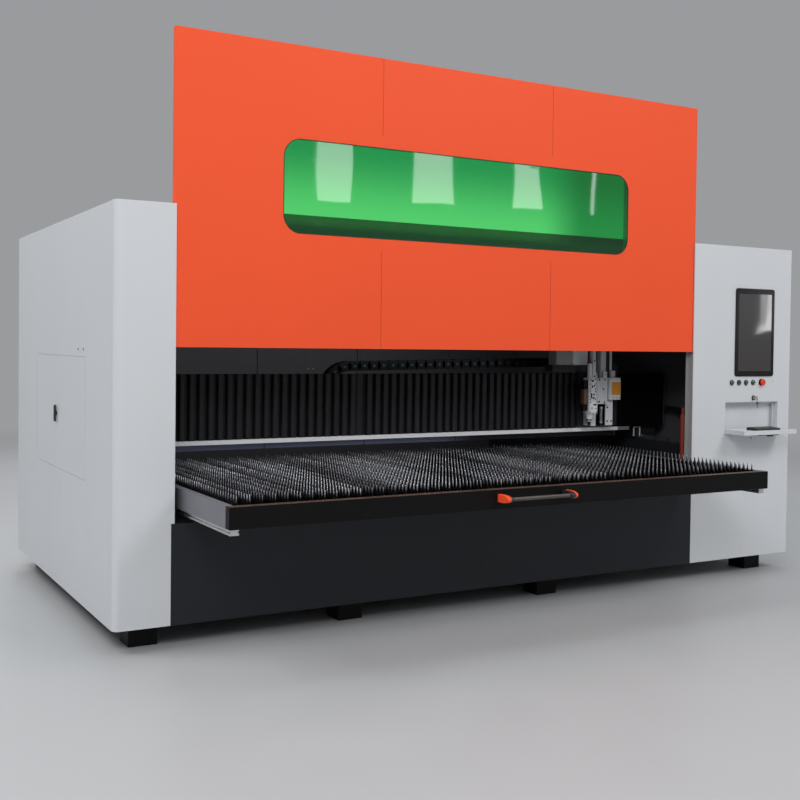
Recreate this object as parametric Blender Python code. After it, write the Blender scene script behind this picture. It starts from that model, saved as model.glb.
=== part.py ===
"""Fibre laser cutting machine with a lifting front door and a pull-out slat table.

All sizes are in metres. X runs to the right as seen from the front, Y runs into the machine and Z is up.
The sizes are written from the middle of the front opening, on the plane of the front sheets, at the floor.
The machine empty then moves everything so that the origin lies under the middle of the whole object.
"""

import math

import bmesh
import bpy
from mathutils import Vector

# Sheets and clearances.
SHEET = 0.003
TOUCH = 0.0003
SLIDE_GAP = 0.002
OVERRUN = 0.02
BEND_RADIUS = 0.006

# Widths that the rest is measured from. The table runs through the front opening.
TABLE_HALF = 1.550
TABLE_SIDE_GAP = 0.030
HALF = TABLE_HALF + TABLE_SIDE_GAP
TOWER_WIDTH = 0.278
CABINET_WIDTH = 0.8235
LEFT = -HALF - TOWER_WIDTH
RIGHT = HALF + CABINET_WIDTH

# Bodywork.
MACHINE_DEPTH = 2.207
MACHINE_TOP = 2.006
BODY_BOTTOM = 0.1034
PANEL_TOP = 0.5645
PANEL_REACH = 0.017
PANEL_RETURN = 0.046
LIP = 0.006
CORNER_RADIUS = 0.03
CORNER_WRAP = 0.055
ROOF_LOW = MACHINE_TOP - SHEET
REAR_INSIDE = MACHINE_DEPTH - SHEET

# Lifting door, drawn raised.
DOOR_FACE = 0.010
DOOR_HEIGHT = 1.438
DOOR_LIFT = 0.794
DOOR_DEPTH = 0.030
DOOR_LAP = 0.008
DOOR_SKIN = 0.002
DOOR_FLOOR_GAP = 0.003
SEAM_LEFT = -0.528
SEAM_RIGHT = 0.522
SEAM_WIDTH = 0.003
SEAM_DEPTH = 0.001
SEAM_TO_WINDOW = 0.060
WINDOW_LEFT = -1.060
WINDOW_RIGHT = 1.065
WINDOW_RISE = 0.5455
WINDOW_HEIGHT = 0.451
WINDOW_RADIUS = 0.09
WINDOW_SHEET = 0.004
WINDOW_LAP = 0.030
DOOR_TUBE = 0.035
SHOE_RISE = 0.050
SHOE_HEIGHT = 0.420
SHOE_DEPTH = 0.021
SHOE_WIDTH = 0.030
GUIDE_SHEET = 0.0015
DOOR_HALF = HALF + DOOR_LAP
DOOR_LOW = PANEL_TOP + DOOR_FLOOR_GAP + DOOR_LIFT
DOOR_TOP = DOOR_LOW + DOOR_HEIGHT
WINDOW_LOW = DOOR_LOW + WINDOW_RISE
WINDOW_TOP = WINDOW_LOW + WINDOW_HEIGHT
FRAME_FRONT = DOOR_FACE + DOOR_SKIN + WINDOW_SHEET + 2 * TOUCH
FRAME_REAR = FRAME_FRONT + DOOR_TUBE
GUIDE_REAR = FRAME_REAR + SHOE_DEPTH / 2

# Roof slot and back wall.
SLOT_END_GAP = 0.016
SLOT_CLEARANCE = 0.0129
ROOF_FLANGE = 0.050
GUIDE_X = HALF + SLOT_END_GAP
SLOT_DEPTH = GUIDE_REAR + SLOT_CLEARANCE
WALL_RIB_PITCH = 0.770
WALL_RIB_OFFSET = -0.284
WALL_RIB_WIDTH = 0.018
WALL_RIB_DEPTH = 0.010
WALL_RAIL_Z = 1.240
WALL_RAIL_HEIGHT = 0.023

# Service doors in the left side.
SERVICE_FRONT = 0.515
SERVICE_SPLIT = 1.160
SERVICE_REAR = 1.643
SERVICE_LOW = 0.714
SERVICE_TOP = 1.309
SERVICE_GAP = 0.0015
SERVICE_HINGE_GAP = 0.0035
SERVICE_REBATE = 0.018
SERVICE_HANDLE_INSET = 0.025
SERVICE_HANDLE_RISE = 0.288
SERVICE_HANDLE_LENGTH = 0.090
SERVICE_HANDLE_WIDTH = 0.022
SERVICE_HANDLE_DEPTH = 0.016
SERVICE_HANDLE_BASE = 0.006
SERVICE_HANDLE_Y = SERVICE_SPLIT - SERVICE_HANDLE_INSET
SERVICE_HANDLE_Z = SERVICE_LOW + SERVICE_HANDLE_RISE

# Cooling slots in the cabinet side.
LOUVRE_ROWS = 9
LOUVRE_PITCH = 0.032
LOUVRE_HEIGHT = 0.008
LOUVRE_LENGTH = 0.260
LOUVRE_LOW = 0.300
LOUVRE_Y = 1.350

# Operator controls on the cabinet front, placed from the edge of the opening.
SCREEN_X = HALF + 0.340
SCREEN_WIDTH = 0.333
SCREEN_LOW = 1.215
SCREEN_HEIGHT = 0.538
SCREEN_PROUD = 0.006
SCREEN_RADIUS = 0.020
SCREEN_BODY_DEPTH = 0.045
SCREEN_BODY_INSET = 0.018
SCREEN_GLASS_INSET = 0.030
SCREEN_GLASS_SINK = 0.0015
BUTTON_SIDE = 0.320
BUTTON_PITCH = 0.0605
BUTTON_COUNT = 4
BUTTON_Z = 1.177
BUTTON_RADIUS = 0.012
BUTTON_STEM_RADIUS = 0.008
BUTTON_TRAVEL = 0.003
BUTTON_CAP = 0.006
BUTTON_STEM = 0.022
STOP_SIDE = 0.573
STOP_Z = 1.178
STOP_RADIUS = 0.020
STOP_STEM_RADIUS = 0.011
STOP_CAP = 0.016
STOP_TRAVEL = 0.005
LOCK_SIDE = 0.508
LOCK_Z = 1.082
LOCK_RADIUS = 0.009
LOCK_PROUD = 0.005
LOCK_DEPTH = 0.020
KEY_THICKNESS = 0.0025
KEY_SHANK = 0.010
KEY_BOW_WIDTH = 0.024
KEY_BOW_LENGTH = 0.022

# Fold-down keyboard tray.
RECESS_SIDE = 0.270
RECESS_WIDTH = 0.454
RECESS_LOW = 0.862
RECESS_TOP = 1.057
RECESS_DEPTH = 0.050
TRAY_RISE = 0.031
TRAY_THICKNESS = 0.026
TRAY_REACH = 0.165
TRAY_SIDE_GAP = 0.0008
TRAY_HEEL = 0.010
TRAY_LIP = 0.004
TRAY_EDGE = 0.012
KEYBOARD_SIDE = 0.123
KEYBOARD_WIDTH = 0.220
KEYBOARD_DEPTH = 0.082
KEYBOARD_HEIGHT = 0.020
KEYBOARD_INSET = 0.030
KEYBOARD_STEP = 0.004
RECESS_LEFT = HALF + RECESS_SIDE
RECESS_RIGHT = RECESS_LEFT + RECESS_WIDTH
TRAY_TOP = RECESS_LOW + TRAY_RISE
HINGE_Z = TRAY_TOP - TRAY_THICKNESS / 2
HINGE_Y = TRAY_THICKNESS / 2

# Base frame and feet.
BASE_TUBE = 0.140
BASE_LOW = 0.110
BASE_GAP = 0.0043
BASE_LEFT_INSET = 0.068
BASE_RIGHT_INSET = 0.0635
FOOT_WIDTH = 0.135
FOOT_SETBACK = 0.050
FOOT_EDGE = 0.004
FOOT_LEFT_INSET = 0.164
FOOT_RIGHT_INSET = 0.1905
FOOT_SECOND_X = -0.636
FOOT_THIRD_X = 0.596
BASE_FRONT = PANEL_RETURN + BASE_GAP
BASE_TOP = BASE_LOW + BASE_TUBE
BASE_REAR = REAR_INSIDE - TOUCH - BASE_TUBE

# Slat table, drawn pulled out.
TABLE_FRONT = -0.605
TABLE_DEPTH = 1.600
TABLE_RISE = 0.060
TABLE_HEIGHT = 0.0935
TABLE_PLATE = 0.008
TABLE_FLANGE = 0.035
TABLE_BEAM = 0.045
TABLE_EDGE = 0.003
SLAT_PITCH = 0.0575
SLAT_SHEET = 0.003
SLAT_RISE = 0.039
SLAT_TOOTH = 0.037
SLAT_DEPTH = 0.088
TOOTH_PITCH = 0.094
CARRIER_WIDTH = 0.012
CARRIER_HEIGHT = 0.050
SLAT_END_INSET = 0.006
RAIL_INSET = 0.010
RAIL_WIDTH = 0.040
RAIL_HEIGHT = 0.026
RAIL_WAIST = 0.006
RAIL_END = 0.020
TABLE_LOW = PANEL_TOP + TABLE_RISE
TABLE_TOP = TABLE_LOW + TABLE_HEIGHT
TABLE_REAR = TABLE_FRONT + TABLE_DEPTH
SLAT_TIP = TABLE_TOP + SLAT_RISE
RAIL_X = TABLE_HALF - RAIL_INSET - RAIL_WIDTH / 2
RAIL_LOW = TABLE_LOW - TOUCH - RAIL_HEIGHT

# Table handle: a tube between two legs with closed ends.
HANDLE_LEFT = -0.238
HANDLE_RIGHT = 0.170
HANDLE_RISE = 0.0545
HANDLE_STANDOFF = 0.085
HANDLE_LEG = 0.036
HANDLE_HEIGHT = 0.037
HANDLE_BAR = 0.018
HANDLE_FRONT = TABLE_FRONT - TOUCH - HANDLE_STANDOFF
HANDLE_Z = TABLE_LOW + HANDLE_RISE

# Bed beams, ledges and scrap pan.
BED_SIDE_GAP = 0.050
BED_WIDTH = 0.160
BED_RISE = 0.1755
BED_PLATE = 0.020
BED_START = 0.140
BED_END_GAP = 0.050
LEDGE_WIDTH = 0.110
LEDGE_HEIGHT = 0.037
TROUGH_DROP = 0.110
TRAY_PAN_DEPTH = 0.120
TRAY_PAN_SLOPE = 0.300
TRAY_PAN_GAP = 0.020
BED_INNER = TABLE_HALF + BED_SIDE_GAP
BED_OUTER = BED_INNER + BED_WIDTH
BED_TOP = TABLE_LOW + BED_RISE
BED_LOW = BASE_TOP + TOUCH
BED_REAR = REAR_INSIDE - BED_END_GAP
TROUGH_Z = BED_TOP - TROUGH_DROP
LEDGE_TOP = RAIL_LOW - TOUCH

# Damper beside the closed door.
DAMPER_SIDE = 0.012
DAMPER_GAP = 0.0149
DAMPER_RADIUS = 0.015
DAMPER_LENGTH = 0.735
DAMPER_ROD_RADIUS = 0.008
DAMPER_ROD = 0.040
DAMPER_FOOT_RADIUS = 0.019
DAMPER_FOOT = 0.015
DAMPER_X = HALF + DAMPER_SIDE
DAMPER_Y = GUIDE_REAR + DAMPER_GAP + DAMPER_RADIUS
DAMPER_TOP = BASE_TOP + DAMPER_LENGTH

# Gantry and its rails.
Y_RAIL_INSET = 0.068
Y_RAIL_WIDTH = 0.028
Y_RAIL_HEIGHT = 0.026
Y_RAIL_WAIST = 0.005
Y_RAIL_END_GAP = 0.020
BEAM_FRONT = 0.560
BEAM_DEPTH = 0.160
BEAM_RISE = 0.100
BEAM_HEIGHT = 0.310
BEAM_CHAMFER = 0.020
SHELF_DEPTH = 0.078
SHELF_LIP = 0.030
END_GAP = 0.0203
END_WIDTH = 0.1597
END_PROUD = 0.030
END_BEHIND = 0.010
END_BASE = 0.080
END_POST_INSET = 0.030
BELLOWS_PROUD = 0.060
BELLOWS_DEPTH = 0.0297
BELLOWS_DROP = 0.012
BELLOWS_HEIGHT = 0.336
BELLOWS_OVER = 0.020
BELLOWS_PAST = 0.041
BELLOWS_WALL = 0.004
PLEAT_PITCH = 0.0505
PACKED_PLEATS = 30
X_RAIL_WIDTH = 0.020
X_RAIL_DEPTH = 0.020
X_RAIL_UPPER_RISE = 0.250
X_RAIL_LOWER_RISE = 0.040
X_RAIL_WAIST = 0.004
COVER_INSET = 0.025
COVER_DROP = 0.034
COVER_PROUD = 0.070
COVER_FLANGE = 0.049
COVER_GAP = 0.002
COVER_SHEET = 0.002
Y_RAIL_X = BED_INNER + Y_RAIL_INSET
BEAM_REAR = BEAM_FRONT + BEAM_DEPTH
BEAM_LOW = BED_TOP + BEAM_RISE
BEAM_TOP = BEAM_LOW + BEAM_HEIGHT
END_INNER = BED_INNER + END_GAP
END_OUTER = END_INNER + END_WIDTH
END_FRONT = BEAM_FRONT - END_PROUD
END_REAR = BEAM_REAR + END_BEHIND
END_BASE_TOP = BED_TOP + END_BASE
BEAM_HALF = END_INNER - TOUCH
BELLOWS_FACE = BEAM_FRONT - BELLOWS_PROUD
BELLOWS_LOW = BEAM_LOW - BELLOWS_DROP
BELLOWS_TOP = BELLOWS_LOW + BELLOWS_HEIGHT
BELLOWS_LEFT = BELLOWS_OVER - END_OUTER
BELLOWS_RIGHT = END_OUTER + BELLOWS_PAST
X_RAIL_UPPER = BEAM_LOW + X_RAIL_UPPER_RISE
X_RAIL_LOWER = BEAM_LOW + X_RAIL_LOWER_RISE
COVER_LEFT = -BED_INNER
COVER_RIGHT = TABLE_HALF - COVER_INSET
COVER_LOW = BEAM_LOW - COVER_DROP
COVER_FACE = BEAM_FRONT - COVER_PROUD
COVER_BACK = BEAM_FRONT - COVER_GAP

# Drag chains.
CHAIN_LINK = 0.0624
CHAIN_NOTCH = 0.006
CHAIN_NOTCH_DEPTH = 0.005
X_CHAIN_GAP = 0.0125
X_CHAIN_WIDTH = 0.060
X_CHAIN_HEIGHT = 0.057
X_CHAIN_OVER = 0.075
X_CHAIN_RISE = 0.045
X_CHAIN_RADIUS = 0.175
X_CHAIN_BEND_X = -0.330
X_CHAIN_LOWER = 0.450
Y_CHAIN_GAP = 0.046
Y_CHAIN_WIDTH = 0.040
Y_CHAIN_HEIGHT = 0.030
Y_CHAIN_RISE = 0.112
Y_CHAIN_UPPER = 0.290
Y_CHAIN_LOWER = 0.760
X_CHAIN_Y = BEAM_REAR + X_CHAIN_GAP
X_CHAIN_TOP = BEAM_TOP + X_CHAIN_OVER
Y_CHAIN_LEFT = END_OUTER + Y_CHAIN_GAP
Y_CHAIN_TOP = BEAM_LOW + Y_CHAIN_RISE
Y_CHAIN_BEND_Y = END_REAR - Y_CHAIN_UPPER

# Partition between the working room and the control cabinet, clear of the chain.
PARTITION_GAP = 0.008
PARTITION_X = Y_CHAIN_LEFT + Y_CHAIN_WIDTH + PARTITION_GAP

# Carriage, placed from the right saddle that it is parked beside.
CARRIAGE_PARK = 0.195
CARRIAGE_WIDTH = 0.310
CARRIAGE_DROP = 0.005
CARRIAGE_OVER = 0.0647
CARRIAGE_PROUD = 0.0647
CARRIAGE_PLATE = 0.020
CARRIAGE_BLOCK = 0.014
ARM_REACH = 0.243
ARM_HEIGHT = 0.0401
ARM_DEPTH = 0.080
BRIDGE_INSET = 0.005
BRIDGE_WIDTH = 0.065
BRIDGE_PLATE = 0.010
BRIDGE_PAST = 0.0005
CABLE_BOX_WIDTH = 0.125
CABLE_BOX_SIDE = 0.230
GAS_BOX_WIDTH = 0.115
BOX_HEIGHT = 0.1503
BOX_PROUD = 0.0773
BOX_DEPTH = 0.076
BOX_BEVEL = 0.003
CARRIAGE_RIGHT = BEAM_HALF - CARRIAGE_PARK
CARRIAGE_LEFT = CARRIAGE_RIGHT - CARRIAGE_WIDTH
CARRIAGE_LOW = BEAM_LOW - CARRIAGE_DROP
CARRIAGE_TOP = BEAM_TOP + CARRIAGE_OVER
CARRIAGE_FACE = BEAM_FRONT - CARRIAGE_PROUD
ARM_LEFT = CARRIAGE_LEFT - ARM_REACH
BRIDGE_LEFT = CARRIAGE_LEFT + BRIDGE_INSET
BRIDGE_REAR = X_CHAIN_Y + X_CHAIN_WIDTH - BRIDGE_PAST
CABLE_BOX_LEFT = CARRIAGE_LEFT - CABLE_BOX_SIDE
CABLE_BOX_RIGHT = CABLE_BOX_LEFT + CABLE_BOX_WIDTH
X_CHAIN_END_X = BRIDGE_LEFT + BRIDGE_WIDTH - BRIDGE_INSET * 3
BOX_FRONT = CARRIAGE_FACE - BOX_PROUD

# Z axis on the carriage.
Z_BODY_SIDE = 0.046
Z_BODY_WIDTH = 0.170
Z_BODY_PROUD = 0.0703
Z_BODY_RISE = 0.008
Z_BODY_HEIGHT = 0.294
Z_FOOT_LEFT = 0.038
Z_FOOT_RIGHT = 0.0575
Z_FOOT_HEIGHT = 0.132
Z_MOTOR_SIDE = 0.130
Z_MOTOR_WIDTH = 0.040
Z_MOTOR_HEIGHT = 0.2427
Z_MOTOR_PROUD = 0.0553
Z_TRAVEL = 0.120
SENSOR_SIDE = 0.164
SENSOR_WIDTH = 0.092
SENSOR_HEIGHT = 0.136
SENSOR_PROUD = 0.025
Z_BODY_LEFT = CARRIAGE_LEFT + Z_BODY_SIDE
Z_BODY_RIGHT = Z_BODY_LEFT + Z_BODY_WIDTH
Z_BODY_FRONT = CARRIAGE_FACE - Z_BODY_PROUD
Z_BODY_LOW = CARRIAGE_LOW + Z_BODY_RISE
Z_BODY_TOP = Z_BODY_LOW + Z_BODY_HEIGHT
SENSOR_LEFT = CARRIAGE_LEFT + SENSOR_SIDE

# Cutting head on the Z slide, placed from the carriage's left edge and the Z body's foot.
HEAD_PLATE_SIDE = 0.034
HEAD_PLATE_TALL = 0.025
HEAD_PLATE_WIDTH = 0.116
HEAD_PLATE_WING = 0.052
HEAD_PLATE_RISE = 0.082
HEAD_PLATE_STEP = 0.053
HEAD_PLATE_MIDDLE = 0.156
HEAD_PLATE_HEIGHT = 0.325
HEAD_PLATE_DEPTH = 0.024
LASER_SIDE = 0.037
LASER_WIDTH = 0.052
LASER_BLOCK_WIDTH = 0.0645
LASER_BLOCK_HEIGHT = 0.056
LASER_HEIGHT = 0.214
LASER_DEPTH = 0.0544
LASER_CHAMFER = 0.007
NOZZLE_LENGTH = 0.079
NOZZLE_RING_RADIUS = 0.022
NOZZLE_RING = 0.026
NOZZLE_BODY_RADIUS = 0.016
NOZZLE_TIP_RADIUS = 0.0035
NOZZLE_CONE = 0.020
CONNECTOR_RADIUS = 0.0145
CONNECTOR_LENGTH = 0.092
CONNECTOR_NECK_RADIUS = 0.006
CONNECTOR_NECK = 0.035
VALVE_WIDTH = 0.0357
VALVE_HEIGHT = 0.091
VALVE_DEPTH = 0.034
HEAD_PLATE_LEFT = CARRIAGE_LEFT + HEAD_PLATE_SIDE
HEAD_PLATE_FRONT = Z_BODY_FRONT - TOUCH - HEAD_PLATE_DEPTH
HEAD_PLATE_LOW = Z_BODY_LOW + HEAD_PLATE_RISE
HEAD_PLATE_STEP_LOW = HEAD_PLATE_LOW + HEAD_PLATE_STEP
LASER_LEFT = CARRIAGE_LEFT - LASER_SIDE
LASER_REAR = HEAD_PLATE_FRONT - TOUCH
LASER_FRONT = LASER_REAR - LASER_DEPTH
LASER_LOW = HEAD_PLATE_LOW - TOUCH
LASER_BLOCK_TOP = LASER_LOW + LASER_BLOCK_HEIGHT
LASER_TOP = LASER_LOW + LASER_HEIGHT
LASER_MIDDLE = LASER_LEFT + LASER_WIDTH / 2
LASER_Y = (LASER_FRONT + LASER_REAR) / 2

# Counts, and shares of the sizes above.
ARC_STEPS = 6
ROUND_STEPS = 16
BEND_STEPS = 12
CAP_EDGE_SHARE = 0.85
STOP_SHAPE_SHARES = ((0.70, 0), (0.93, 0.15), (1, 0.40), (0.80, 0.75))
GROOVE_SHARES = ((0, 0.35), (1, 0.45), (1, 0.60), (0, 0.70))
LEG_SHAPE_SHARES = ((0, 1), (0.45, 1), (0.80, 0.80), (1, 0.25))
SADDLE_GRIP_SHARE = 0.15
BLOCK_GRIP_SHARE = 0.3


# Helpers for outlines and solids.

def place(axis, first, second, along):
    """A point with the two outline coordinates and the one along the axis, in X, Y, Z order."""
    others = "xyz".replace(axis, "")
    spots = {axis: along, others[0]: first, others[1]: second}
    return [spots["x"], spots["y"], spots["z"]]


def solid_from(name, build):
    """An object whose mesh is filled by build(bm), with its faces turned outwards."""
    bm = bmesh.new()
    build(bm)
    bmesh.ops.recalc_face_normals(bm, faces=bm.faces)
    mesh = bpy.data.meshes.new(name)
    bm.to_mesh(mesh)
    bm.free()
    obj = bpy.data.objects.new(name, mesh)
    bpy.context.scene.collection.objects.link(obj)
    return obj


def add_prism(bm, outline, axis, low, high):
    """A prism with this outline, from low to high along the axis."""
    bottom = [bm.verts.new(place(axis, a, b, low)) for a, b in outline]
    top = [bm.verts.new(place(axis, a, b, high)) for a, b in outline]
    bm.faces.new(bottom)
    bm.faces.new(top)
    for index, start in enumerate(bottom):
        after = (index + 1) % len(outline)
        bm.faces.new((start, bottom[after], top[after], top[index]))


def prism(name, outline, axis, low, high):
    return solid_from(name, lambda bm: add_prism(bm, outline, axis, low, high))


def rectangle(left, right, low, high):
    return [(left, low), (right, low), (right, high), (left, high)]


def box(name, x, y, z):
    """A plain block between two X, two Y and two Z values."""
    return prism(name, rectangle(*x, *y), "z", *z)


def arc(centre, radius, start, end, steps=ARC_STEPS):
    """Points on a circle, from one angle in degrees to another."""
    angles = [math.radians(start + (end - start) * step / steps) for step in range(steps + 1)]
    return [(centre[0] + radius * math.cos(a), centre[1] + radius * math.sin(a)) for a in angles]


def rounded_rectangle(left, right, low, high, radius):
    outline = arc((right - radius, low + radius), radius, -90, 0)
    outline += arc((right - radius, high - radius), radius, 0, 90)
    outline += arc((left + radius, high - radius), radius, 90, 180)
    outline += arc((left + radius, low + radius), radius, 180, 270)
    return outline


def chamfered_rectangle(left, right, low, high, cut):
    return [
        (left + cut, low), (right - cut, low), (right, low + cut), (right, high - cut),
        (right - cut, high), (left + cut, high), (left, high - cut), (left, low + cut),
    ]


def folded(path, thickness):
    """The outline of a folded sheet whose outer side follows the path, with the metal on the path's left."""
    inner = []
    for index, point in enumerate(path):
        before = Vector(path[max(index - 1, 0)])
        here = Vector(point)
        after = Vector(path[min(index + 1, len(path) - 1)])
        first = (here - before).normalized() if index else (after - here).normalized()
        second = (after - here).normalized() if index < len(path) - 1 else first
        normal = Vector((-first.y - second.y, first.x + second.x)).normalized()
        lean = normal.dot(Vector((-first.y, first.x)))
        inner.append(tuple(here + normal * thickness / lean))
    return list(path) + inner[::-1]


def turned(name, profile, axis, centre, steps=ROUND_STEPS):
    """A turned solid. The profile lists (radius, place along the axis) from one end to the other."""

    def build(bm):
        rings = []
        for radius, along in profile:
            points = arc(centre, radius, 0, 360 - 360 / steps, steps - 1)
            rings.append([bm.verts.new(place(axis, a, b, along)) for a, b in points])
        for ring, following in zip(rings, rings[1:]):
            for index, vert in enumerate(ring):
                after = (index + 1) % steps
                bm.faces.new((vert, ring[after], following[after], following[index]))
        bm.faces.new(rings[0])
        bm.faces.new(rings[-1])

    return solid_from(name, build)


def combine(target, others, operation):
    """Joins the others to the target, or cuts them out of it, and removes them."""
    for other in others:
        modifier = target.modifiers.new(operation.lower(), "BOOLEAN")
        modifier.operation = operation
        modifier.object = other
    graph = bpy.context.evaluated_depsgraph_get()
    mesh = bpy.data.meshes.new_from_object(target.evaluated_get(graph))
    target.modifiers.clear()
    target.data = mesh
    for other in others:
        bpy.data.objects.remove(other)
    return target


def join(target, *others):
    return combine(target, others, "UNION")


def cut(target, *others):
    return combine(target, others, "DIFFERENCE")


def soften(obj, width, segments=1):
    """A bevel on every sharp edge."""
    modifier = obj.modifiers.new("soft_edges", "BEVEL")
    modifier.width = width
    modifier.segments = segments
    modifier.limit_method = "ANGLE"
    return obj


def paint(obj, name, colour, roughness, metallic=0.0):
    material = bpy.data.materials.get(name)
    if material is None:
        material = bpy.data.materials.new(name)
        material.use_nodes = True
        shader = material.node_tree.nodes["Principled BSDF"]
        shader.inputs["Base Color"].default_value = (*colour, 1.0)
        shader.inputs["Roughness"].default_value = roughness
        shader.inputs["Metallic"].default_value = metallic
    obj.data.materials.clear()
    obj.data.materials.append(material)
    return obj


def white(obj):
    return paint(obj, "white_powder_coat", (0.80, 0.81, 0.82), 0.45)


def dark(obj):
    return paint(obj, "dark_grey_powder_coat", (0.045, 0.047, 0.055), 0.5)


def orange(obj):
    return paint(obj, "orange_powder_coat", (0.90, 0.10, 0.02), 0.45)


def black(obj):
    return paint(obj, "black_parts", (0.012, 0.012, 0.013), 0.5)


def steel(obj):
    return paint(obj, "bare_steel", (0.55, 0.55, 0.55), 0.35, 1.0)


def light_grey(obj):
    return paint(obj, "light_grey_castings", (0.62, 0.63, 0.63), 0.4)


# The empties that carry the moving bodies.

BODIES = {}


def body(name, parent, point):
    """An empty on the joint's axis, under its parent's empty."""
    empty = bpy.data.objects.new(name, None)
    bpy.context.scene.collection.objects.link(empty)
    empty.empty_display_size = BASE_TUBE
    if parent is None:
        empty.location = point
        BODIES[name] = (empty, Vector((0, 0, 0)))
        return
    carrier, carrier_point = BODIES[parent]
    empty.parent = carrier
    empty.location = Vector(point) - carrier_point
    BODIES[name] = (empty, Vector(point))


def carry(name, *objects):
    """Hangs the objects on a body. Their meshes keep the machine's own coordinates."""
    empty, point = BODIES[name]
    for obj in objects:
        obj.parent = empty
        obj.location = -point


# Left tower: a rounded front sheet and a flat side sheet with two service doors.

def tower_front():
    corner = (LEFT + CORNER_RADIUS, CORNER_RADIUS)
    path = [(LEFT, CORNER_WRAP)]
    path += arc(corner, CORNER_RADIUS, 180, 270)
    path += [(-HALF - TOUCH, 0), (-HALF - TOUCH, LIP)]
    sheet = prism("tower_front", folded(path, SHEET), "z", BODY_BOTTOM, MACHINE_TOP)
    notch = box(
        "notch",
        (-HALF - PANEL_REACH - TOUCH, -HALF + OVERRUN),
        (-OVERRUN, OVERRUN),
        (BODY_BOTTOM - OVERRUN, PANEL_TOP + TOUCH),
    )
    return white(cut(sheet, notch))


def service_opening(inset):
    return rectangle(
        SERVICE_FRONT + inset, SERVICE_REAR - inset, SERVICE_LOW + inset, SERVICE_TOP - inset
    )


def tower_side():
    panel = prism(
        "tower_side",
        rectangle(CORNER_WRAP + TOUCH, MACHINE_DEPTH, BODY_BOTTOM, ROOF_LOW - TOUCH),
        "x",
        LEFT,
        LEFT + SHEET,
    )
    rebate = prism(
        "rebate", service_opening(-SERVICE_REBATE), "x", LEFT + SHEET / 2, LEFT + 2 * SHEET + TOUCH
    )
    join(panel, rebate)
    cut(
        panel,
        prism("mouth", service_opening(0), "x", LEFT - OVERRUN, LEFT + SHEET + TOUCH),
        prism("throat", service_opening(SERVICE_REBATE), "x", LEFT - OVERRUN, LEFT + OVERRUN),
    )
    return white(panel)


def service_leaf(name, front, rear):
    leaf = prism(
        name,
        rectangle(front, rear, SERVICE_LOW + SERVICE_GAP, SERVICE_TOP - SERVICE_GAP),
        "x",
        LEFT,
        LEFT + SHEET,
    )
    return white(leaf)


def service_handle():
    middle = (SERVICE_HANDLE_Y, SERVICE_HANDLE_Z)
    base = turned(
        "service_handle",
        [
            (SERVICE_HANDLE_WIDTH / 2, LEFT - TOUCH),
            (SERVICE_HANDLE_WIDTH / 2, LEFT - SERVICE_HANDLE_DEPTH + BEND_RADIUS),
        ],
        "x",
        middle,
    )
    half = SERVICE_HANDLE_WIDTH / 2
    bar = prism(
        "bar",
        rounded_rectangle(
            SERVICE_HANDLE_Y - half,
            SERVICE_HANDLE_Y + half,
            SERVICE_HANDLE_Z - SERVICE_HANDLE_LENGTH / 2,
            SERVICE_HANDLE_Z + SERVICE_HANDLE_LENGTH / 2,
            half - BEND_RADIUS / 4,
        ),
        "x",
        LEFT - SERVICE_HANDLE_DEPTH,
        LEFT - SERVICE_HANDLE_BASE,
    )
    return black(join(base, bar))


# Right cabinet: front sheet with the operator's cut-outs, side sheet with cooling slots.

def round_hole(x, z, radius):
    return turned("hole", [(radius, -OVERRUN), (radius, OVERRUN)], "y", (x, z))


def cabinet_front():
    path = [(HALF + TOUCH, LIP), (HALF + TOUCH, 0), (RIGHT, 0), (RIGHT, CORNER_WRAP)]
    sheet = prism("cabinet_front", folded(path, SHEET), "z", BODY_BOTTOM, MACHINE_TOP)
    pocket = box(
        "pocket",
        (RECESS_LEFT - SHEET, RECESS_RIGHT + SHEET),
        (SHEET / 2, RECESS_DEPTH + SHEET),
        (RECESS_LOW - SHEET, RECESS_TOP + SHEET),
    )
    join(sheet, pocket)
    holes = [
        box("recess", (RECESS_LEFT, RECESS_RIGHT), (-OVERRUN, RECESS_DEPTH), (RECESS_LOW, RECESS_TOP)),
        box(
            "screen_hole",
            screen_span(SCREEN_BODY_INSET - TOUCH),
            (-OVERRUN, OVERRUN),
            screen_rise(SCREEN_BODY_INSET - TOUCH),
        ),
        round_hole(HALF + STOP_SIDE, STOP_Z, STOP_STEM_RADIUS + TOUCH),
        round_hole(HALF + LOCK_SIDE, LOCK_Z, LOCK_RADIUS + TOUCH),
    ]
    for place_x in button_places():
        holes.append(round_hole(place_x, BUTTON_Z, BUTTON_STEM_RADIUS + TOUCH))
    return white(cut(sheet, *holes))


def cabinet_side():
    panel = prism(
        "cabinet_side",
        rectangle(CORNER_WRAP + TOUCH, MACHINE_DEPTH, BODY_BOTTOM, ROOF_LOW - TOUCH),
        "x",
        RIGHT - SHEET,
        RIGHT,
    )
    slots = []
    for row in range(LOUVRE_ROWS):
        low = LOUVRE_LOW + row * LOUVRE_PITCH
        outline = chamfered_rectangle(
            LOUVRE_Y, LOUVRE_Y + LOUVRE_LENGTH, low, low + LOUVRE_HEIGHT, LOUVRE_HEIGHT / 3
        )
        slots.append(prism("slot", outline, "x", RIGHT - OVERRUN, RIGHT + OVERRUN))
    return white(cut(panel, *slots))


def screen_span(inset):
    return (SCREEN_X + inset, SCREEN_X + SCREEN_WIDTH - inset)


def screen_rise(inset):
    return (SCREEN_LOW + inset, SCREEN_LOW + SCREEN_HEIGHT - inset)


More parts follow.
